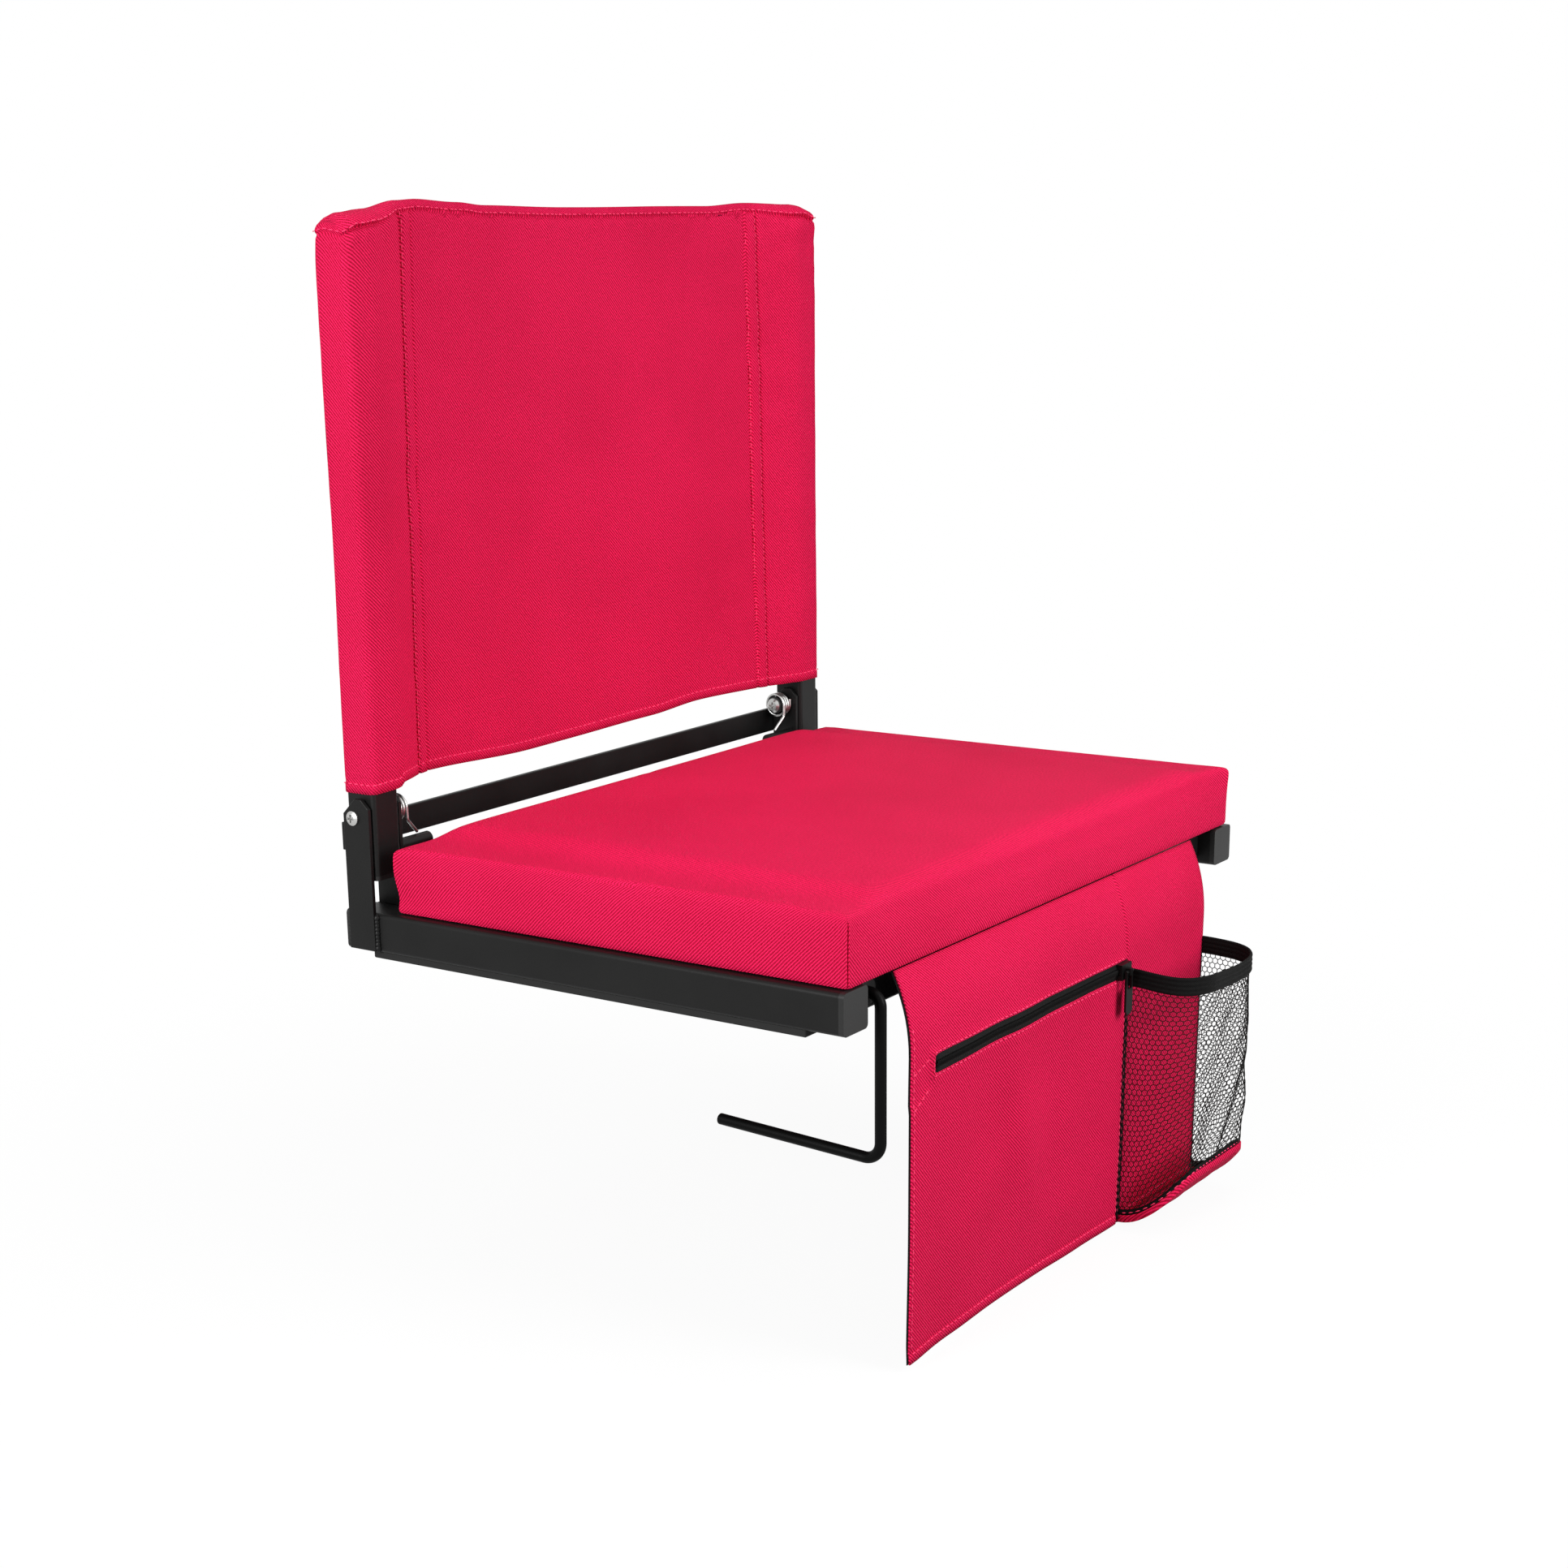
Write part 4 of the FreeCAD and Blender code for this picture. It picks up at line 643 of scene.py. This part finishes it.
bm = bmesh.new()
bmesh.ops.create_cube(bm, size=1)
for axis, cuts in ((0, 85), (1, 57), (2, 8)):
    runs = [e for e in bm.edges if abs((e.verts[0].co - e.verts[1].co)[axis]) > 1e-6]
    bmesh.ops.subdivide_edges(bm, edges=runs, cuts=cuts, use_grid_fill=True)
bm.verts.index_update()
corner_verts = {v.index for v in bm.verts if abs(v.co.x) > 0.4999 and abs(v.co.y) > 0.4999}
held_verts = {v.index for v in bm.verts if v.co.z < -0.499} | corner_verts
top_verts = {v.index for v in bm.verts if v.co.z > 0.499}
for vert in bm.verts:
    vert.co = cushion_point(vert.co)
blank = mesh_from("cushion_blank", bm)
print("Cushion blank:", len(blank.vertices), "points; held:", len(held_verts))


# %% [markdown]
# The Cloth modifier runs for twenty frames with air pressure and no gravity. The places of its points are read
# back, and the trial object is deleted.

# %% Fill the cushion
def inflate(mesh, held, pressure, frames):
    body = bpy.data.objects.new("cushion_trial", mesh)
    scene.collection.objects.link(body)
    group = body.vertex_groups.new(name="held")
    group.add(sorted(held), 1.0, "REPLACE")
    cloth = body.modifiers.new("Cloth", "CLOTH")
    settings = cloth.settings
    settings.quality = 6
    settings.mass = 0.3
    settings.tension_stiffness = settings.compression_stiffness = 25
    settings.bending_stiffness = 2
    settings.vertex_group_mass = "held"
    settings.use_pressure = True
    settings.uniform_pressure_force = pressure
    settings.effector_weights.gravity = 0
    cloth.point_cache.frame_start, cloth.point_cache.frame_end = 1, frames
    for number in range(1, frames + 1):
        scene.frame_set(number)
    shaped = body.evaluated_get(bpy.context.evaluated_depsgraph_get()).to_mesh()
    places = [v.co.copy() for v in shaped.vertices]
    scene.frame_set(1)
    bpy.data.objects.remove(body)
    return places


start_places = [v.co.copy() for v in blank.vertices]
full_places = inflate(blank, held_verts, pressure=3.0, frames=20)


def limited(start, end, most):
    move = end - start
    far = move.length
    return start + move * (most * math.tanh(far / most) / far) if far > 1e-7 else start


swell = max((b - a).length for a, b in zip(start_places, full_places))
print("Largest swell before the limit:", round(swell * 1000, 1), "mm")

# %% [markdown]
# After the filling come the things that a simulation loses: the sides pull in a little between the corners, the
# cloth puckers beside the corner seams, and each seam is a narrow crease. The seam is made by a bevel on the
# upright edge whose middle line is pushed inwards. The top stays low at both sides, where the uprights lie
# when the back is folded. The UV map unfolds the sides to the top's own flat layout.

# %% Cushion seams and cloth layout
TOP_SWELL, SIDE_SWELL, SEAM_DEPTH = 0.0024, 0.0010, 0.0009
SIDE_ROOM, MIDDLE_ROOM, UPRIGHT_X = 0.0628, 0.0075, 0.174


def drawn_in(place):
    x, y = place.x - CUSHION_MID.x, place.y - CUSHION_MID.y
    gap_x, gap_y = HALF_X - abs(x), HALF_Y - abs(y)
    level = min(max((place.z - SEAT_LOW) / (SEAT_EDGE - SEAT_LOW), 0), 1)
    at_rear_left = bump_at(x, -HALF_X, 0.04) * bump_at(y, HALF_Y, 0.04)
    for axis, gap, along in ((0, gap_x, gap_y), (1, gap_y, gap_x)):
        fade = min(max(1 - gap / 0.02, 0), 1)
        along = max(along, 0.0)
        pull = 0.0026 * (1 - math.exp(-along / 0.016)) * level
        flare = 0.0012 * math.exp(-along / 0.006) * level**3
        beside_seam = along / 0.008 * math.exp(1 - along / 0.008)
        ripple = 0.0005 * math.sin(level * 9 + along * 140) * beside_seam * level
        tuck = 0.0009 * math.sin(level * 6.0 - 2.6) * at_rear_left * (1 - level**4) * min(level * 4, 1)
        sign = math.copysign(1, x if axis == 0 else y)
        place[axis] -= sign * (pull - flare + ripple - tuck) * fade
    room = SIDE_ROOM + MIDDLE_ROOM * (1 - step_at(abs(x), UPRIGHT_X, 0.005))
    place.z = min(place.z, room)
    return place


final_places = [
    drawn_in(limited(a, b, TOP_SWELL if k in top_verts else SIDE_SWELL))
    for k, (a, b) in enumerate(zip(start_places, full_places))
]
bm = bmesh.new()
bm.from_mesh(blank)
bm.verts.ensure_lookup_table()
for vert, place in zip(bm.verts, final_places):
    vert.co = place
uprights = [e for e in bm.edges if e.verts[0].index in corner_verts and e.verts[1].index in corner_verts]
seams = bmesh.ops.bevel(
    bm, geom=uprights, offset=0.0008, segments=2, profile=0.5, affect="EDGES", material=-1
)
sharp = bm.edges.layers.float.new("crease_edge")
for edge in {e for v in seams["verts"] for e in v.link_edges}:
    if abs(edge.verts[0].co.z - edge.verts[1].co.z) > 0.002:
        edge[sharp] = 1.0
in_seam = set(seams["verts"])
for vert in seams["verts"]:
    x, y = vert.co.x - CUSHION_MID.x, vert.co.y - CUSHION_MID.y
    near = [e for e in vert.link_edges if e.calc_length() < 0.0015]
    if sum(e.other_vert(vert) in in_seam for e in near) > 1:
        vert.co -= Vector((math.copysign(1, x), math.copysign(1, y), 0)) * SEAM_DEPTH
layout = bm.loops.layers.uv.verify()
bm.normal_update()
for face in bm.faces:
    side = max(range(3), key=lambda k: abs(face.normal[k]))
    for corner in face.loops:
        x, y, z = corner.vert.co
        down = SEAT_EDGE - z
        if side == 0:
            x += math.copysign(down, face.normal.x)
        elif side == 1:
            y += math.copysign(down, face.normal.y)
        corner[layout].uv = (x, y)
cushion = make_piece("cushion", bm, red_cloth, "seat_frame", 70)
softer = cushion.modifiers.new("Soft", "SUBSURF")
softer.levels = softer.render_levels = 1
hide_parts("seat_cushion")
print("Cushion faces:", len(cushion.data.polygons))

# %% [markdown]
# Under the cushion a thin black cloth covers the plywood, with a staple every few centimetres along its front and
# rear edges.

# %% Under cover
low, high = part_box("cushion_under_cover")


def cover_point(u, v):
    edge = min(u - low[0], high[0] - u, v - low[1], high[1] - v)
    dip = 0.00015 * noise.noise(Vector((u * 40, v * 40, 1))) * min(edge / 0.02, 1)
    return Vector((u, v, low[2] + 0.0002 + dip))


bm = cut_cloth(low[0], high[0], low[1], high[1], 0.008)
bend(bm, cover_point)
bmesh.ops.reverse_faces(bm, faces=bm.faces)
under_cover = make_piece("under_cover_cloth", bm, black_cloth, "seat_frame")
thicken(under_cover, 0.0003)
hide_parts("cushion_under_cover")


def cover_below(u, v):
    return cover_point(-u, v)


bm = bmesh.new()
for v in (low[1] + 0.006, high[1] - 0.006):
    sew(bm, cover_below, (-0.19, v), (0.19, v), stitch=0.010, gap=0.032, thick=0.0004)
staples = make_piece("cover_staples", bm, finish["zinc_steel"], "seat_frame")

# %% [markdown]
# The flap hangs from under the cushion's front edge, over the front bar and straight down. It is red outside and
# lined with black. A zip pocket opens across it: the red cloth ends in two folded lips over the zip's tape, and
# the lower pocket cloth is a second layer whose edge runs down to the left side. A seam parts it from the place
# behind the net pocket. Slack in the middle gives it a long ridge, a hollow and a few soft creases, which fade
# towards the zip because its tape is stiffer than the cloth.

# %% The flap's shape
FLAP_LEFT, FLAP_RIGHT, DIVIDER = -0.172, 0.166, 0.0645
ZIP_Z, ZIP_LEFT, ZIP_RIGHT = -0.026, -0.150, DIVIDER - 0.0018
LIP, TAPE_HALF, FLAP_HEM = 0.0047, 0.006, -0.1762
FLAP_LINE = [(-0.1632, 0.0261, 0), (-0.17408, 0.00487, 0.02287), (-0.171, -0.182, 0)]
hang, drop = eased_path(FLAP_LINE, steps=14)
SLACK = [
    (-0.172, 0), (-0.125, 0.0018), (-0.078, 0.003), (-0.031, 0.0027), (0.0156, 0.0012), (0.0625, 0), (0.17, 0),
]


def drop_at(z):
    short, long = 0.0, drop
    for _ in range(40):
        middle = (short + long) / 2
        short, long = (middle, long) if hang(middle)[0].y > z else (short, middle)
    return short


def flap_relief(x, z):
    off_zip = abs(z - ZIP_Z)
    beside = step_at(x, ZIP_LEFT) * (1 - step_at(x, DIVIDER - 0.001))
    lips = 0.0016 * math.exp(-max(off_zip - LIP, 0) / 0.0035) * step_at(off_zip, LIP)
    end_tab = 0.0016 * bump_at(x, ZIP_LEFT - 0.0015, 0.0022) * (1 - step_at(off_zip, 0.0075, 0.0006))
    slope = ZIP_Z - LIP - 0.003 - 0.5 * max(ZIP_LEFT - x, 0)
    second_layer = 0.0005 * (1 - step_at(z, slope)) * (1 - step_at(x, DIVIDER - 0.001))
    seam = -0.0008 * bump_at(x, DIVIDER, 0.0009)
    hem = 0.0004 * (1 - step_at(z, FLAP_HEM - 0.0003)) - 0.0003 * bump_at(z, FLAP_HEM, 0.0009)
    return lips * beside + end_tab + second_layer + seam + hem


def flap_folds(x, share):
    left_of_divider = 1 - step_at(x, 0.045, 0.008)
    ridge = 0.0022 * bump_at(x, -0.075 + 0.04 * share, 0.014)
    hollow = -0.0022 * bump_at(x, -0.035 + 0.03 * share, 0.016)
    slanted = Vector((x * 15 + share * 2.4, 2, share * 1.9 - x * 5))
    creases = 0.0070 * noise.noise(slanted) * step_at(x, -0.112, 0.008)
    left_curl = 0.0015 * share * bump_at(x, FLAP_LEFT, 0.02)
    loose = 0.3 + 0.7 * step_at(share, 0.42, 0.05)
    bulge = (ridge + hollow + creases) * left_of_divider * loose
    return bulge * math.sin(math.pi * min(share * 1.15, 1)) + left_curl


def hung_point(u, v, out):
    share = min(-v / drop, 1.0)
    (y, z), (ny, nz) = hang(-v)
    out += flap_folds(u, share)
    return Vector((u, y + through(u, SLACK) * share + ny * out, z + nz * out))


def flap_point(u, v, lift=0.0):
    z = hang(-v)[0].y
    uneven = 0.0006 * noise.noise(Vector((u * 17, 5, z * 13))) * min(-3 * v / drop, 1)
    return hung_point(u, v, lift + flap_relief(u, z) + uneven)


print("Flap length:", round(drop, 4), "m")

# %% [markdown]
# Both layers of the flap are bent by the same function, the lining a millimetre behind the red cloth. The red
# cloth is scored along the zip's lips, the hem, the end of the zip and the seam beside the net pocket.

# %% Make the flap
zip_drop = drop_at(ZIP_Z)
bm = cut_cloth(FLAP_LEFT, FLAP_RIGHT, -drop, 0, 0.0035)
lip_lines = [s * (LIP + off) for s in (-1, 1) for off in (-0.0006, -0.0001, 0.0004, 0.0016, 0.003)]
score(bm, "v", *[-zip_drop + line for line in lip_lines])
score(bm, "v", *[-zip_drop - LIP - off for off in (0.0034, 0.0026)])
score(bm, "v", *[-drop_at(FLAP_HEM) + off for off in (-0.0008, 0.0, 0.0008)])
score(bm, "u", *[DIVIDER + off for off in (-0.0016, -0.0008, 0, 0.0008, 0.0016)])
score(bm, "u", *[ZIP_LEFT + off for off in (-0.004, -0.0025, -0.0012, -0.0004, 0.0002, 0.0008)])
bend(bm, flap_point)
flap_cloth = make_piece("flap_cloth", bm, red_cloth, "flap")
thicken(flap_cloth, COVER_CLOTH)
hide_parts("flap_panel")


def lining_point(u, v):
    return flap_point(u, v, -0.0011)


bm = cut_cloth(FLAP_LEFT - 0.0008, FLAP_RIGHT + 0.0004, -drop, 0, 0.005)
bend(bm, lining_point)
flap_lining = make_piece("flap_lining_cloth", bm, black_cloth, "flap")
thicken(flap_lining, LINING_CLOTH)
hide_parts("flap_lining")
print("Flap faces:", len(flap_cloth.data.polygons))

# %% [markdown]
# The flap's stitching: a row on each lip of the zip, two that slant from its end tab to the left edge, the seam
# beside the net pocket, the hem, the left edge, and finer stitches across the end tab.

# %% Sew the flap
bm = bmesh.new()
tab, beside_net, left_row = ZIP_LEFT - 0.002, DIVIDER - 0.0022, FLAP_LEFT + 0.0018
on_lip, hem_row, row_end = LIP + 0.0014, -drop + 0.0052, -drop + 0.006
for begin, end in (
    ((tab, -zip_drop + on_lip), (DIVIDER - 0.003, -zip_drop + on_lip)),
    ((tab, -zip_drop - on_lip), (DIVIDER - 0.003, -zip_drop - on_lip)),
    ((FLAP_LEFT + 0.001, -zip_drop - 0.0200), (tab, -zip_drop - 0.0100)),
    ((FLAP_LEFT + 0.001, -zip_drop - 0.0015), (ZIP_LEFT - 0.004, -zip_drop + 0.004)),
    ((beside_net, -zip_drop - 0.012), (beside_net, row_end)),
    ((FLAP_LEFT + 0.002, hem_row), (FLAP_RIGHT - 0.002, hem_row)),
    ((left_row, -0.03), (left_row, row_end)),
):
    sew(bm, flap_point, begin, end)
sew(bm, flap_point, (tab, -zip_drop - LIP), (tab, -zip_drop + LIP), 0.002, 0.0008)
flap_stitches = make_piece("flap_stitching", bm, red_thread, "flap")
print("Flap stitches:", len(flap_stitches.data.polygons) // 24)


# %% [markdown]
# The zip. Its tape is a woven black strip under the lips. The teeth are the two edges of a nylon coil: rows of
# small slanted loops that mesh along the middle. Two cords of tape edge stand up beside them.

# %% Zip tape and teeth
def tape_point(u, v):
    across = v + zip_drop
    cord = 0.0005 * (bump_at(across, 0.0022, 0.0005) + bump_at(across, -0.0022, 0.0005))
    return hung_point(u, v, 0.0009 + cord)


bm = cut_cloth(ZIP_LEFT, ZIP_RIGHT, -zip_drop - TAPE_HALF, -zip_drop + TAPE_HALF, 0.004)
score(bm, "v", *[-zip_drop + s * off for s in (-1, 1) for off in (0.0014, 0.0018, 0.0022, 0.0026, 0.0031)])
bend(bm, tape_point)
zip_tape = make_piece("zip_tape_cloth", bm, zip_cloth, "flap")
thicken(zip_tape, LINING_CLOTH)
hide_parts("zip_tape")

bm = bmesh.new()
TOOTH, TEETH, TOOTH_SIZE = 0.0012, 176, (0.00042, 0.0007, 0.00115, 1)
for k in range(TEETH):
    u = ZIP_LEFT + 0.001 + k * TOOTH
    for side in (-1, 1):
        here = tape_point(u + side * TOOTH / 4, -zip_drop + side * 0.0006)
        here.y -= 0.0007
        turn = Matrix.Rotation(math.radians(side * 14), 4, "Y")
        size = Matrix.Diagonal(TOOTH_SIZE)
        stamp(bm, bead, Matrix.Translation(here) @ turn @ size)
zip_teeth = make_piece("zip_teeth", bm, black_thread, "flap")
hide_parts("zip_coil")
print("Zip teeth:", 2 * TEETH)

# %% [markdown]
# The net pocket is a D that stands out from the flap: an elastic band round its mouth, a wall of black hexagon
# net, and a red cloth floor that rises towards the front and ends in a low lip. The wall is nearly upright and a
# little slack, so the net has shallow folds in its lower half. Its cells are stretched in front and closer at the
# two ends.

# %% The pocket's shape
POCKET_LEFT, POCKET_RIGHT = 0.0665, 0.165
BAND_TALL, NET_HEIGHT, NET_STRETCH = 0.0108, 0.128, 0.25
BAND_LINE = [(0, -0.0270), (0.25, -0.0300), (0.65, -0.0345), (1, -0.0312)]
FLOOR_BACK, FLOOR_LOW, FLOOR_DEPTH, FLOOR_RISE, FLOOR_LIP = -0.1716, -0.1800, 0.036, 0.026, 0.0028


def pocket_line(y, left_depth, right_depth, left_ease, right_ease):
    front_left = (POCKET_LEFT, y - left_depth, left_ease)
    front_right = (POCKET_RIGHT, y - right_depth, right_ease)
    return eased_path([(POCKET_LEFT, y, 0), front_left, front_right, (POCKET_RIGHT, y, 0)], steps=12)


mouth, mouth_length = pocket_line(-0.1736, 0.0425, 0.0360, 0.030, 0.020)
floor_line, floor_length = pocket_line(FLOOR_BACK, 0.0355, FLOOR_DEPTH, 0.028, 0.020)


def floor_height(y):
    return FLOOR_LOW + FLOOR_RISE * min(max((FLOOR_BACK - y) / FLOOR_DEPTH, 0), 1) ** 2


def band_low(share):
    return through(share, BAND_LINE) - BAND_TALL


def net_point(u, v):
    even = min(max(u / mouth_length, 0.0), 1.0)
    share = even - NET_STRETCH * math.sin(2 * math.pi * even) / (2 * math.pi)
    fall = min(max(-v / NET_HEIGHT, 0.0), 1.0)
    top, out_top = mouth(share * mouth_length)
    end, out_end = floor_line(share * floor_length)
    place = top.lerp(end, fall)
    out = out_top.lerp(out_end, fall)
    loose = math.sin(math.pi * share)
    slack = fall**1.5 * loose
    folds = 0.0018 * slack * math.sin(share * 17 + 2.5 * math.sin(fall * 4.0 + share * 5))
    ripples = 0.0016 * noise.noise(Vector((share * 9 + fall * 3, fall * 6, 2))) * loose
    place = place + out * (0.0022 * math.sin(math.pi * fall) * loose + folds + ripples)
    z = band_low(share) + 0.001 + (floor_height(end.y) + FLOOR_LIP - band_low(share)) * fall
    return Vector((place.x, place.y, z))


print("Pocket mouth:", round(mouth_length, 4), "m; floor line:", round(floor_length, 4), "m")

# %% [markdown]
# The net is built as a knitter would see it: one hexagon repeated into a honeycomb, joined where the cells
# meet, and bent into the D. The Wireframe modifier then turns every side into a thread.

# %% Make the net
CELL, ROW = 0.0041, 0.0029
columns, rows = round(mouth_length / CELL), round(NET_HEIGHT / ROW)
bm = bmesh.new()
shape = Matrix.Diagonal((CELL / math.sqrt(3), ROW / 1.5, 1, 1))
bmesh.ops.create_circle(bm, cap_ends=True, segments=6, radius=1, matrix=shape)
hexagon = mesh_from("hexagon", bm)
bm = bmesh.new()
for r in range(rows):
    for c in range(columns):
        stamp(bm, hexagon, Matrix.Translation((CELL * (c + 0.25 + 0.5 * (r % 2)), -ROW * (r + 0.4), 0)))
bmesh.ops.remove_doubles(bm, verts=bm.verts, dist=CELL * 0.1)
for vert in bm.verts:
    vert.co = net_point(vert.co.x, vert.co.y)
net = make_piece("pocket_net", bm, black_thread, "flap", 180)
threads = net.modifiers.new("Threads", "WIREFRAME")
threads.thickness = 0.00058
threads.use_even_offset = False
threads.use_boundary = True
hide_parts("mesh_pocket")
print("Net cells:", len(net.data.polygons))


# %% [markdown]
# The sewn parts of the pocket: the ribbed band, the floor, the tape that binds its left edge to the flap, and the
# net's hem. The net is mostly holes, so only a share of its area counts.

# %% Pocket band, floor and bindings
def band_point(u, v):
    place, out = mouth(u)
    ribs = 0.0006 * abs(math.sin(4 * math.pi * v / BAND_TALL))
    place = place + out * (0.0009 + ribs)
    return Vector((place.x, place.y, band_low(u / mouth_length) + BAND_TALL + v))


bm = cut_cloth(0, mouth_length, -BAND_TALL, 0, 0.0006)
bend(bm, band_point)
band = make_piece("pocket_band", bm, elastic_cloth, "flap", 180)
thicken(band, 0.0014)
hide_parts("mesh_pocket_band")


LIP_SPAN, FINE_STITCH, NET_SHARE = 0.25, (0.0026, 0.0016), 0.40
whole_span = 1 + LIP_SPAN


def floor_point(u, v):
    share = u / floor_length
    end, out = floor_line(u)
    wall_x = POCKET_LEFT + (POCKET_RIGHT - POCKET_LEFT) * share
    inner = Vector((wall_x, FLOOR_BACK))
    place = inner.lerp(end + out * 0.001, min(v, 1.0))
    sag = 0.0012 * noise.noise(Vector((share * 8, v * 3, 4))) * math.sin(math.pi * min(v, 1.0))
    lip = (FLOOR_LIP + 0.001) * max(v - 1.0, 0.0) / LIP_SPAN
    return Vector((place.x, place.y, floor_height(place.y) - 0.0008 + sag + lip))


bm = bmesh.new()
middle = Matrix.Translation((floor_length / 2, whole_span / 2, 0))
size = Matrix.Diagonal((floor_length, whole_span, 1, 1))
bmesh.ops.create_grid(bm, x_segments=60, y_segments=15, size=0.5, matrix=middle @ size)
bend(bm, floor_point)
layout = bm.loops.layers.uv.verify()
for face in bm.faces:
    for corner in face.loops:
        corner[layout].uv = (corner.vert.co.x, corner.vert.co.y + corner.vert.co.z)
bmesh.ops.recalc_face_normals(bm, faces=bm.faces)
pocket_floor = make_piece("pocket_floor", bm, red_cloth, "flap")
thicken(pocket_floor, COVER_CLOTH)
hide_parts("mesh_pocket_base")


def binding_point(u, v):
    return flap_point(u, v, 0.0012 - 60 * (u - DIVIDER) ** 2)


bm = cut_cloth(0.0630, 0.0662, -drop + 0.003, -drop_at(-0.028), 0.0008)
bend(bm, binding_point)
binding = make_piece("pocket_binding_tape", bm, elastic_cloth, "flap")
thicken(binding, LINING_CLOTH)
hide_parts("pocket_binding")


def net_hem_point(u, v):
    end, out = floor_line(u)
    z = floor_height(end.y) + FLOOR_LIP + v
    place = end + out * (0.0012 - 300 * (v - 0.0015) ** 2)
    return Vector((place.x, place.y, z))


bm = cut_cloth(0, floor_length, -0.0005, 0.0035, 0.001)
bend(bm, net_hem_point)
net_hem = make_piece("pocket_net_hem", bm, elastic_cloth, "flap", 180)
thicken(net_hem, 0.0006)
bm = bmesh.new()
sew(bm, binding_point, (DIVIDER, -drop + 0.006), (DIVIDER, -drop_at(-0.046)), *FINE_STITCH)
sew(bm, net_hem_point, (0.002, 0.0017), (floor_length - 0.002, 0.0017), *FINE_STITCH)
pocket_stitches = make_piece("pocket_stitching", bm, red_thread, "flap")

# %% [markdown]
# Light as in a small product studio: a softly lit room, a strong soft lamp on the left, two small ones close in
# front and one above. The floor is pale and keeps a faint shadow near the seat. To the camera the background is
# plain white, and the floor fades into it, so no horizon shows.

# %% Floor, light and view
GROUND_GAP, AMBIENT, LIT_POINT = 0.004, 0.3, Vector((0, 0, 0.12))


def white_to_camera(tree):
    path = tree.nodes.new("ShaderNodeLightPath")
    seen = calc(tree, "MAXIMUM", path.outputs["Is Camera Ray"], path.outputs["Is Glossy Ray"])
    return calc(tree, "MAXIMUM", seen, path.outputs["Is Transmission Ray"])


def blend(tree, share, first, second):
    node = tree.nodes.new("ShaderNodeMixShader")
    for value, socket in zip((share, first, second), node.inputs):
        feed(tree, value, socket)
    return node.outputs[0]


bm = bmesh.new()
bmesh.ops.create_grid(bm, x_segments=8, y_segments=8, size=12)
bmesh.ops.translate(bm, verts=bm.verts, vec=(0, 0, cad_box[0][2] - GROUND_GAP))
ground = mesh_from("floor", bm)
floor = bpy.data.objects.new("floor", ground)
scene.collection.objects.link(floor)
pale, tree, shader = new_material("pale_floor")
shader.inputs["Base Color"].default_value = (0.12, 0.12, 0.12, 1)
shader.inputs["Roughness"].default_value = 0.9
shader.inputs["Specular IOR Level"].default_value = 0.0
pale_cloud = tree.nodes.new("ShaderNodeBsdfDiffuse")
pale_cloud.inputs["Color"].default_value = (0.9, 0.9, 0.9, 1)
glow = tree.nodes.new("ShaderNodeEmission")
far = tree.nodes.new("ShaderNodeVectorMath")
far.operation = "LENGTH"
feed(tree, coordinates(tree, "Object"), far.inputs[0])
fade = tree.nodes.new("ShaderNodeMapRange")
fade.interpolation_type = "SMOOTHSTEP"
for label, value in (("From Min", 0.25), ("From Max", 0.75), ("To Min", 0.93), ("To Max", 1.0)):
    fade.inputs[label].default_value = value
feed(tree, far.outputs["Value"], fade.inputs["Value"])
shown = blend(tree, fade.outputs[0], pale_cloud.outputs[0], glow.outputs[0])
both = blend(tree, white_to_camera(tree), shader.outputs[0], shown)
feed(tree, both, tree.nodes["Material Output"].inputs["Surface"])
ground.materials.append(pale)
floor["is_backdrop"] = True

world = bpy.data.worlds.new("white_room")
scene.world = world
world.use_nodes = True
sky = world.node_tree.nodes["Background"]
sky.inputs["Color"].default_value = (1, 1, 1, 1)
feed(
    world.node_tree,
    calc(world.node_tree, "MULTIPLY_ADD", white_to_camera(world.node_tree), 1 - AMBIENT, AMBIENT),
    sky.inputs["Strength"],
)


def soft_lamp(name, place, size, power):
    lamp = bpy.data.objects.new(name, bpy.data.lights.new(name, "AREA"))
    scene.collection.objects.link(lamp)
    lamp.data.shape = "SQUARE"
    lamp.data.size = size
    lamp.data.energy = power
    lamp.visible_camera = False
    lamp.location = place
    lamp.rotation_euler = (LIT_POINT - Vector(place)).to_track_quat("-Z", "Y").to_euler()


soft_lamp("left", (-1.7, 0.1, 0.6), 0.8, 29.5)
soft_lamp("front", (0.05, -1.2, 0.4), 0.6, 9.5)
soft_lamp("front_above", (0.1, -1.1, 0.8), 0.6, 4.5)
soft_lamp("above", (0, -0.4, 1.9), 1.2, 9.5)
scene.view_settings.view_transform = "Standard"

# %% [markdown]
# Last, the dressed model's box is measured, both boxes are kept, and their sizes are printed.

# %% Measure and finish
visual_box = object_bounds()
for label, (a, b) in (("CAD", cad_box), ("Visual", visual_box)):
    print(label, "box in mm:", [round((b[k] - a[k]) * 1000, 1) for k in range(3)])
